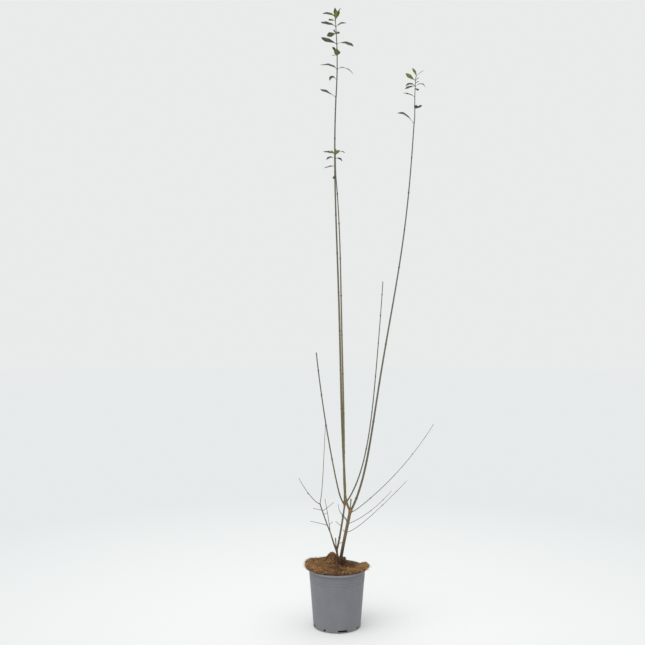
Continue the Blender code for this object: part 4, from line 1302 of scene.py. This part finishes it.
young_bark = bark_finish("young_bark", YOUNG_BARK_STOPS, film=0.3)
grey_bark = bark_finish("grey_young_bark", GREY_BARK_STOPS, film=0.3)
for name, limb in CANES.items():
    grow(name, limb)
    bark = young_bark if name in ("tall_cane", "middle_cane") else grey_bark
    piece = join_parts(f"{name}_bark", [skin_parts(name, CANE_SKIN)], bark)
    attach(piece, "root")
    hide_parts(name)


# Stubs and spurs
# Short ends that were left when side shoots were cut or broke off. Their ends are cut across
# and have weathered dark.
STUBS = {
    "fork_stub": Limb("trunk", 0.943, 30, 0.036, (3, 5, 6), 0.010, (0.0028, 0.0031), knot=0.2),
    "foot_stub": Limb("left_stem", 0.90, 245, 0.0375, (24, 8, 8), 0.010, (0.0028, 0.0027), knot=0.2),
    "rear_bough_spur_left": Limb("rear_bough", 0.503, 190, 0.022, (58, 50, 48), 0.006, (0.0017, 0.0012)),
    "rear_bough_spur_right": Limb("rear_bough", 0.644, -10, 0.011, (85, 84, 80), 0.006, (0.0017, 0.0013)),
    "trunk_spur_high": Limb("trunk", 0.584, 200, 0.014, (60, 30, 28), 0.004, (0.0018, 0.0013)),
    "trunk_spur_low": Limb("trunk", 0.441, 195, 0.015, (95, 117, 118), 0.004, (0.0018, 0.0012)),
}
STUB_SKIN = Bark(sides=16, spacing=0.0007, relief=0.10, furrow=0.008, blunt=0.15, cut=True)

for name, limb in STUBS.items():
    grow(name, limb)
    piece = join_parts(f"{name}_bark", [skin_parts(name, STUB_SKIN)], old_bark)
    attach(piece, "root")
    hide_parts(name)


# Whips and twigs
# Thin bare shoots with pale grey bark and buds in pairs. Some arch out from the trunk, and
# one spray of them stands on the low left bough.
WHIPS = {
    "right_whip_high": Limb(
        "trunk", 0.93, 18, 0.3455, (83, 58, 34.4), 0.010, (0.0022, 0.0011), first_joint=0.045,
    ),
    "right_whip_middle": Limb(
        "trunk", 0.738, 48, 0.206, (86.9, 73.5, 57.9), 0.143, (0.0018, 0.0010), first_joint=0.045,
    ),
    "right_whip_low": Limb(
        "trunk", 0.593, -32, 0.250, (72.5, 48.8, 43.6), 0.028, (0.0017, 0.0010), first_joint=0.045,
    ),
    "crossing_twig": Limb(
        "trunk", 0.66, 185, 0.076, (43, -26, 46), 0.010, (0.0042, 0.0008), sway=(32.5, -0.217),
    ),
}
LOW_STEM = Limb("low_left_bough", 1, 195, 0.090, (23, 20.5, 17.5), 0.030, (0.0034, 0.0032))
TWIGS = {
    "low_shoot": Limb("low_stem", 0.03, 150, 0.092, (7.5, 8.5, 13), 0.03, (0.0020, 0.0013)),
    "low_shoot_barb": Limb("low_shoot", 0.58, 180, 0.011, (100, 125, 125), 0.004, (0.0014, 0.0011)),
    "low_shoot_fork": Limb("low_shoot", 0.22, 10, 0.013, (35, 50, 66), 0.006, (0.0015, 0.0011)),
    "left_twig": Limb("low_stem", 0.26, 190, 0.050, (70, 72, 77), 0.010, (0.0018, 0.0011)),
    "left_twig_short": Limb("low_stem", 0.76, 170, 0.026, (74, 78, 86), 0.010, (0.0016, 0.0011)),
    "right_twig": Limb("low_stem", 0.74, 345, 0.041, (58, 53, 47), 0.010, (0.0017, 0.0011)),
    "left_shoot": Limb("low_stem", 0.97, 200, 0.098, (70, 44, 28), 0.012, (0.0022, 0.0012)),
    "left_shoot_barb": Limb("left_shoot", 0.45, 240, 0.012, (75, 65, 60), 0.006, (0.0014, 0.0011)),
    "thin_whip": Limb("low_stem", 0.985, 340, 0.221, (13, 3.1, 2.7), 0.027, (0.0020, 0.0013)),
}
WHIP_SKIN = Bark(sides=12, spacing=0.0013, relief=0.06, furrow=0.015)
WHIP_STOPS = ((0.15, (104, 98, 86)), (0.30, (108, 105, 96)), (0.45, (106, 104, 94)))

whip_bark = bark_finish("whip_bark", WHIP_STOPS, film=0.25)
for name, limb in WHIPS.items():
    grow(name, limb)
    piece = join_parts(f"{name}_bark", [skin_parts(name, WHIP_SKIN)], whip_bark)
    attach(piece, "root")
    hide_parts(name)
grow("low_stem", LOW_STEM)
for name, twig in TWIGS.items():
    grow(name, twig)
sprays = [skin_parts(name, WHIP_SKIN) for name in ("low_stem", *TWIGS)]
piece = join_parts("low_left_spray", sprays, whip_bark)
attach(piece, "root")
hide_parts("low_left_twigs")


# Leafy tips
# The canes end in short green shoots with narrow, leathery evergreen leaves in crossed pairs.
# Old leaves are dark and hang, young ones are yellow-green, and all are greyer underneath.
SHOOTS = {
    "tall_cane_leaves": Limb("tall_cane", 1, 140, 0.221, (-5.3, -2.6, 8.3), 0.39, (0.0038, 0.0023)),
    "middle_cane_leaves": Limb("middle_cane", 1, 200, 0.067, (4.3, 1.1, 0.6), 0.014, (0.0027, 0.0018)),
    "right_cane_leaves": Limb("right_cane", 1, 20, 0.130, (10.8, -6.6, 5.4), 0.021, (0.0030, 0.0019)),
}
SHOOT_SKIN = Bark(sides=14, spacing=0.0011, relief=0.05, furrow=0.015)
SHOOT_STOPS = (
    (0.72, (108, 104, 92)), (0.90, (102, 99, 92)), (0.96, (100, 100, 84)), (0.985, (106, 112, 70)),
)
LEAF_ROWS = 18
LEAF_SIDES = (-1, -0.72, -0.40, -0.07, 0.07, 0.40, 0.72, 1)
LEAF_THICKNESS = 0.0004
LEAF_MARGIN_THIN = 0.55  # thickness near the margin, as a share
LEAF_STALK = 0.10  # share of the length
LEAF_STALK_WIDTH = 0.0019
LEAF_STALK_DEEP = 0.9  # depth beside its width
LEAF_STALK_FLAT = 0.15  # how flat its sides stay
LEAF_TIP_WIDTH = 0.0004
LEAF_SLENDER = 0.29  # width as a share of length
LEAF_BROADEST = 1.35  # above 1 puts the broadest place past the middle
LEAF_FULLNESS = 0.8
LEAF_FOLD = 0.25
LEAF_SETTLE = 0.15  # share of the length over which the stalk bends to the blade
LEAF_WAVE = 0.09  # waviness of the margin, as a share of the blade's half-width
LEAF_WAVE_TURN = 17  # radians from the root to the tip
LEAF_WAVE_SHIFT = 2  # and from one margin to the other
FACE, BACK, RIB = range(3)  # finishes of a leaf
LEAF_LOOKS = (("face", 0.12, 0.42), ("back", 0.08, 0.62), ("rib", 0.06, 0.50))  # spread and roughness
LEAF_SCALE = 120.0
LEAF_TONES = {
    "dark": ((44, 58, 24), (68, 80, 44), (76, 88, 54)),
    "old": ((56, 66, 44), (108, 114, 100), (100, 108, 84)),
    "mid": ((54, 74, 20), (78, 93, 42), (98, 112, 60)),
    "young": ((88, 108, 20), (102, 116, 36), (124, 138, 62)),
}


class Leaf(NamedTuple):
    """One leaf of a pair: its length with the stalk, how it leans and turns, and its tone."""

    length: float
    leans: tuple  # at the stalk's root, along the blade, and at the tip
    roll: float = -25.0  # turn of the blade about its own length
    slender: float = LEAF_SLENDER
    tone: str = "mid"
    broadest: float = LEAF_BROADEST


# Leaf pairs up each shoot: height above the shoot's foot, the heading of the first leaf,
# and the two leaves. The second stands opposite. A lost leaf is None.
PAIRS = {
    "tall_cane_leaves": (
        (0.001, 150, Leaf(0.059, (28, 66, 66), -24, 0.25, "old", 2.2), None),
        (0.048, 215, Leaf(0.034, (50, -10, 188), -45, 0.26, "mid", 1.0), None),
        (
            0.077, 330, Leaf(0.058, (31, 88, 142), 0, 0.20, "old", 1.0),
            Leaf(0.061, (20, 64, 90), -24, 0.25, "old", 1.1),
        ),
        (0.117, 170, Leaf(0.016, (75, 88, 92), -30, 0.34, "old"), None),
        (
            0.117, 205, Leaf(0.027, (24, 34, 38), -55, 0.56, "dark"),
            Leaf(0.015, (42, 38, 30), 55, 0.50, "dark"),
        ),
        (0.115, 262, Leaf(0.024, (78, 50, 25), 0, 0.60, "mid", 1.0), None),
        (
            0.147, 150, Leaf(0.056, (34, 88, 54), -50, 0.25, "dark", 1.3),
            Leaf(0.056, (50, 94, 124), 30, 0.28, "old", 1.3),
        ),
        (0.176, 200, Leaf(0.029, (82, 104, 117), -68, 0.50), Leaf(0.011, (50, 62, 72), 50, 0.90, "old")),
        (0.1755, 130, Leaf(0.018, (28, 46, 54), 50, 0.70, "old"), None),
        (
            0.195, 330, Leaf(0.036, (51, 51, 110), -9, 0.27, "old"),
            Leaf(0.053, (31, 84, 67), -34, tone="dark"),
        ),
        (0.212, 205, Leaf(0.022, (68, 90, 97), -45, 0.42), None),
        (0.218, 160, Leaf(0.045, (-10, 60, 90), -40, 0.26), Leaf(0.033, (25, 12, 50), 5, 0.25, "young")),
        (0.213, 110, Leaf(0.036, (10, 5, 2), -5, 0.25), Leaf(0.028, (34, 30, 12), 5, 0.40, "young")),
        (0.214, 10, Leaf(0.030, (28, 24, 18), 60, 0.32, "young"), None),
    ),
    "middle_cane_leaves": (
        (0.002, 215, Leaf(0.012, (88, 105, 112), -60, 0.66, "mid", 0.9), None),
        (0.032, 135, Leaf(0.045, (80, 93, 96), -26, tone="old"), None),
        (
            0.053, 225, Leaf(0.037, (82, 66, 132), -24, 0.24, "old", 1.0),
            Leaf(0.028, (78, 78, 126), 52, 0.40, "dark", 1.8),
        ),
        (0.065, 135, Leaf(0.047, (77, 77, 77), -22, 0.26, "old"), Leaf(0.036, (62, 60, 122), 8, 0.24, "old")),
        (
            0.062, 200, Leaf(0.018, (50, 52, 56), -52, 0.42, "young"),
            Leaf(0.018, (38, 40, 42), 60, 0.44, "young"),
        ),
        (0.064, 275, Leaf(0.015, (25, 18, 12), 0, 0.40, "young"), None),
    ),
    "right_cane_leaves": (
        (0.001, 165, Leaf(0.060, (44, 15, 91), -24, 0.27, "old", 2.1), None),
        (0.043, 345, Leaf(0.022, (80, 74, 64), 50, 0.46, "dark"), None),
        (0.042, 295, Leaf(0.013, (70, 45, 30), 0, 0.85, "dark"), None),
        (0.075, 195, Leaf(0.035, (59, 70, 84), -32, 0.27, "old", 1.0), None),
        (0.099, 300, Leaf(0.016, (105, 124, 134), 0, 0.80, "dark"), None),
        (0.103, 175, Leaf(0.031, (22, 38, 142), -44, tone="old"), Leaf(0.035, (52, 20, 168), -2, tone="old")),
        (0.105, 190, Leaf(0.031, (98, 98, 119), -42, tone="old"), None),
        (0.112, 350, Leaf(0.011, (45, 60, 70), 40, 0.42, "old"), None),
        (0.120, 170, Leaf(0.034, (66, 57, 48), -62, 0.36, "young"), Leaf(0.012, (40, 50, 55), tone="old")),
        (
            0.129, 170, Leaf(0.028, (-40, 31, 33), -58, 0.29, "young"),
            Leaf(0.029, (25, 50, 62), 8, 0.26, "old"),
        ),
    ),
}


def leaf_half_width(share, width, broadest):
    """Return half a leaf's width at a share of its length: a stalk, then a narrow blade."""
    blade = max(share - LEAF_STALK, 0) / (1 - LEAF_STALK)
    lens = math.sin(math.pi * blade**broadest)
    least = LEAF_STALK_WIDTH if share < 0.5 else LEAF_TIP_WIDTH
    return max(width * max(lens, 0) ** LEAF_FULLNESS, least) / 2


def leaf_parts(root, heading, leaf, seed):
    """Return one leaf's points, faces and finish numbers: a thin closed blade on its stalk."""
    rib = Limb("", 0, heading, leaf.length, leaf.leans, LEAF_SETTLE * leaf.length, (0, 0))
    line = centre_line(root, rib)
    roll = math.radians(leaf.roll)
    shares = np.linspace(0, 1, LEAF_ROWS + 1)
    forward, level, upper = limb_frame(rib, shares * leaf.length)
    across = level * math.cos(roll) + upper * math.sin(roll)
    face = upper * math.cos(roll) - level * math.sin(roll)
    middle = place_on(line, shares * leaf.length)
    top, bottom = [], []
    for row, share in enumerate(shares):
        half = leaf_half_width(share, leaf.slender * leaf.length, leaf.broadest)
        stalk = share < LEAF_STALK
        for side in LEAF_SIDES:
            turn = LEAF_WAVE_TURN * share + seed + (LEAF_WAVE_SHIFT if side > 0 else 0)
            wave = 0 if stalk else LEAF_WAVE * side * side * math.sin(turn)
            lift = half * (abs(side) * LEAF_FOLD + wave)
            place = middle[row] + across[row] * side * half + face[row] * lift
            thick = LEAF_THICKNESS * (1.0 if abs(side) < 0.5 else LEAF_MARGIN_THIN)
            if stalk:
                flat = math.sqrt(max(1 - side * side, LEAF_STALK_FLAT))
                thick = LEAF_STALK_WIDTH * LEAF_STALK_DEEP * flat
            top.append(place + face[row] * thick / 2)
            bottom.append(place - face[row] * thick / 2)
    wide, half_count = len(LEAF_SIDES), len(top)
    faces, kinds = [], []
    for start, flip, kind in ((0, -1, FACE), (half_count, 1, BACK)):
        for row in range(LEAF_ROWS):
            for column in range(wide - 1):
                a = start + row * wide + column
                faces.append((a, a + 1, a + 1 + wide, a + wide)[::flip])
                kinds.append(RIB if column == wide // 2 - 1 else kind)
    rim = [row * wide for row in range(LEAF_ROWS, 0, -1)] + list(range(wide))
    rim += [row * wide + wide - 1 for row in range(1, LEAF_ROWS)]
    rim += [LEAF_ROWS * wide + column for column in range(wide - 1, 0, -1)]
    for a, b in zip(rim, rim[1:] + rim[:1]):
        faces.append((a, b, half_count + b, half_count + a))
        kinds.append(BACK)
    return top + bottom, faces, kinds


shoot_bark = bark_finish("shoot_bark", SHOOT_STOPS, film=0.15)
blades = []
for tone, colours in LEAF_TONES.items():
    for (side, spread, roughness), colour in zip(LEAF_LOOKS, colours):
        blades.append(plain_finish(f"leaf_{tone}_{side}", colour, spread, roughness, LEAF_SCALE))
for name, shoot in SHOOTS.items():
    grow(name, shoot)
    stem = join_parts(f"{name}_stem", [skin_parts(name, SHOOT_SKIN)], shoot_bark)
    points, faces, kinds = [], [], []
    for height, heading, *pair in PAIRS[name]:
        root = place_on(grown[name][1], height)
        for leaf, bearing in zip(pair, (heading, heading + 180)):
            if leaf is None:
                continue
            more, sides, sorts = leaf_parts(root, bearing, leaf, rng.uniform(0, math.tau))
            first_finish = len(LEAF_LOOKS) * list(LEAF_TONES).index(leaf.tone)
            faces += [tuple(corner + len(points) for corner in side) for side in sides]
            kinds += [first_finish + sort for sort in sorts]
            points += more
    leaves = add_piece(f"{name}_blades", points, faces, blades, kinds)
    for piece, slot in ((stem, "twigs"), (leaves, "foliage")):
        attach(piece, "root")
        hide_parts(name)
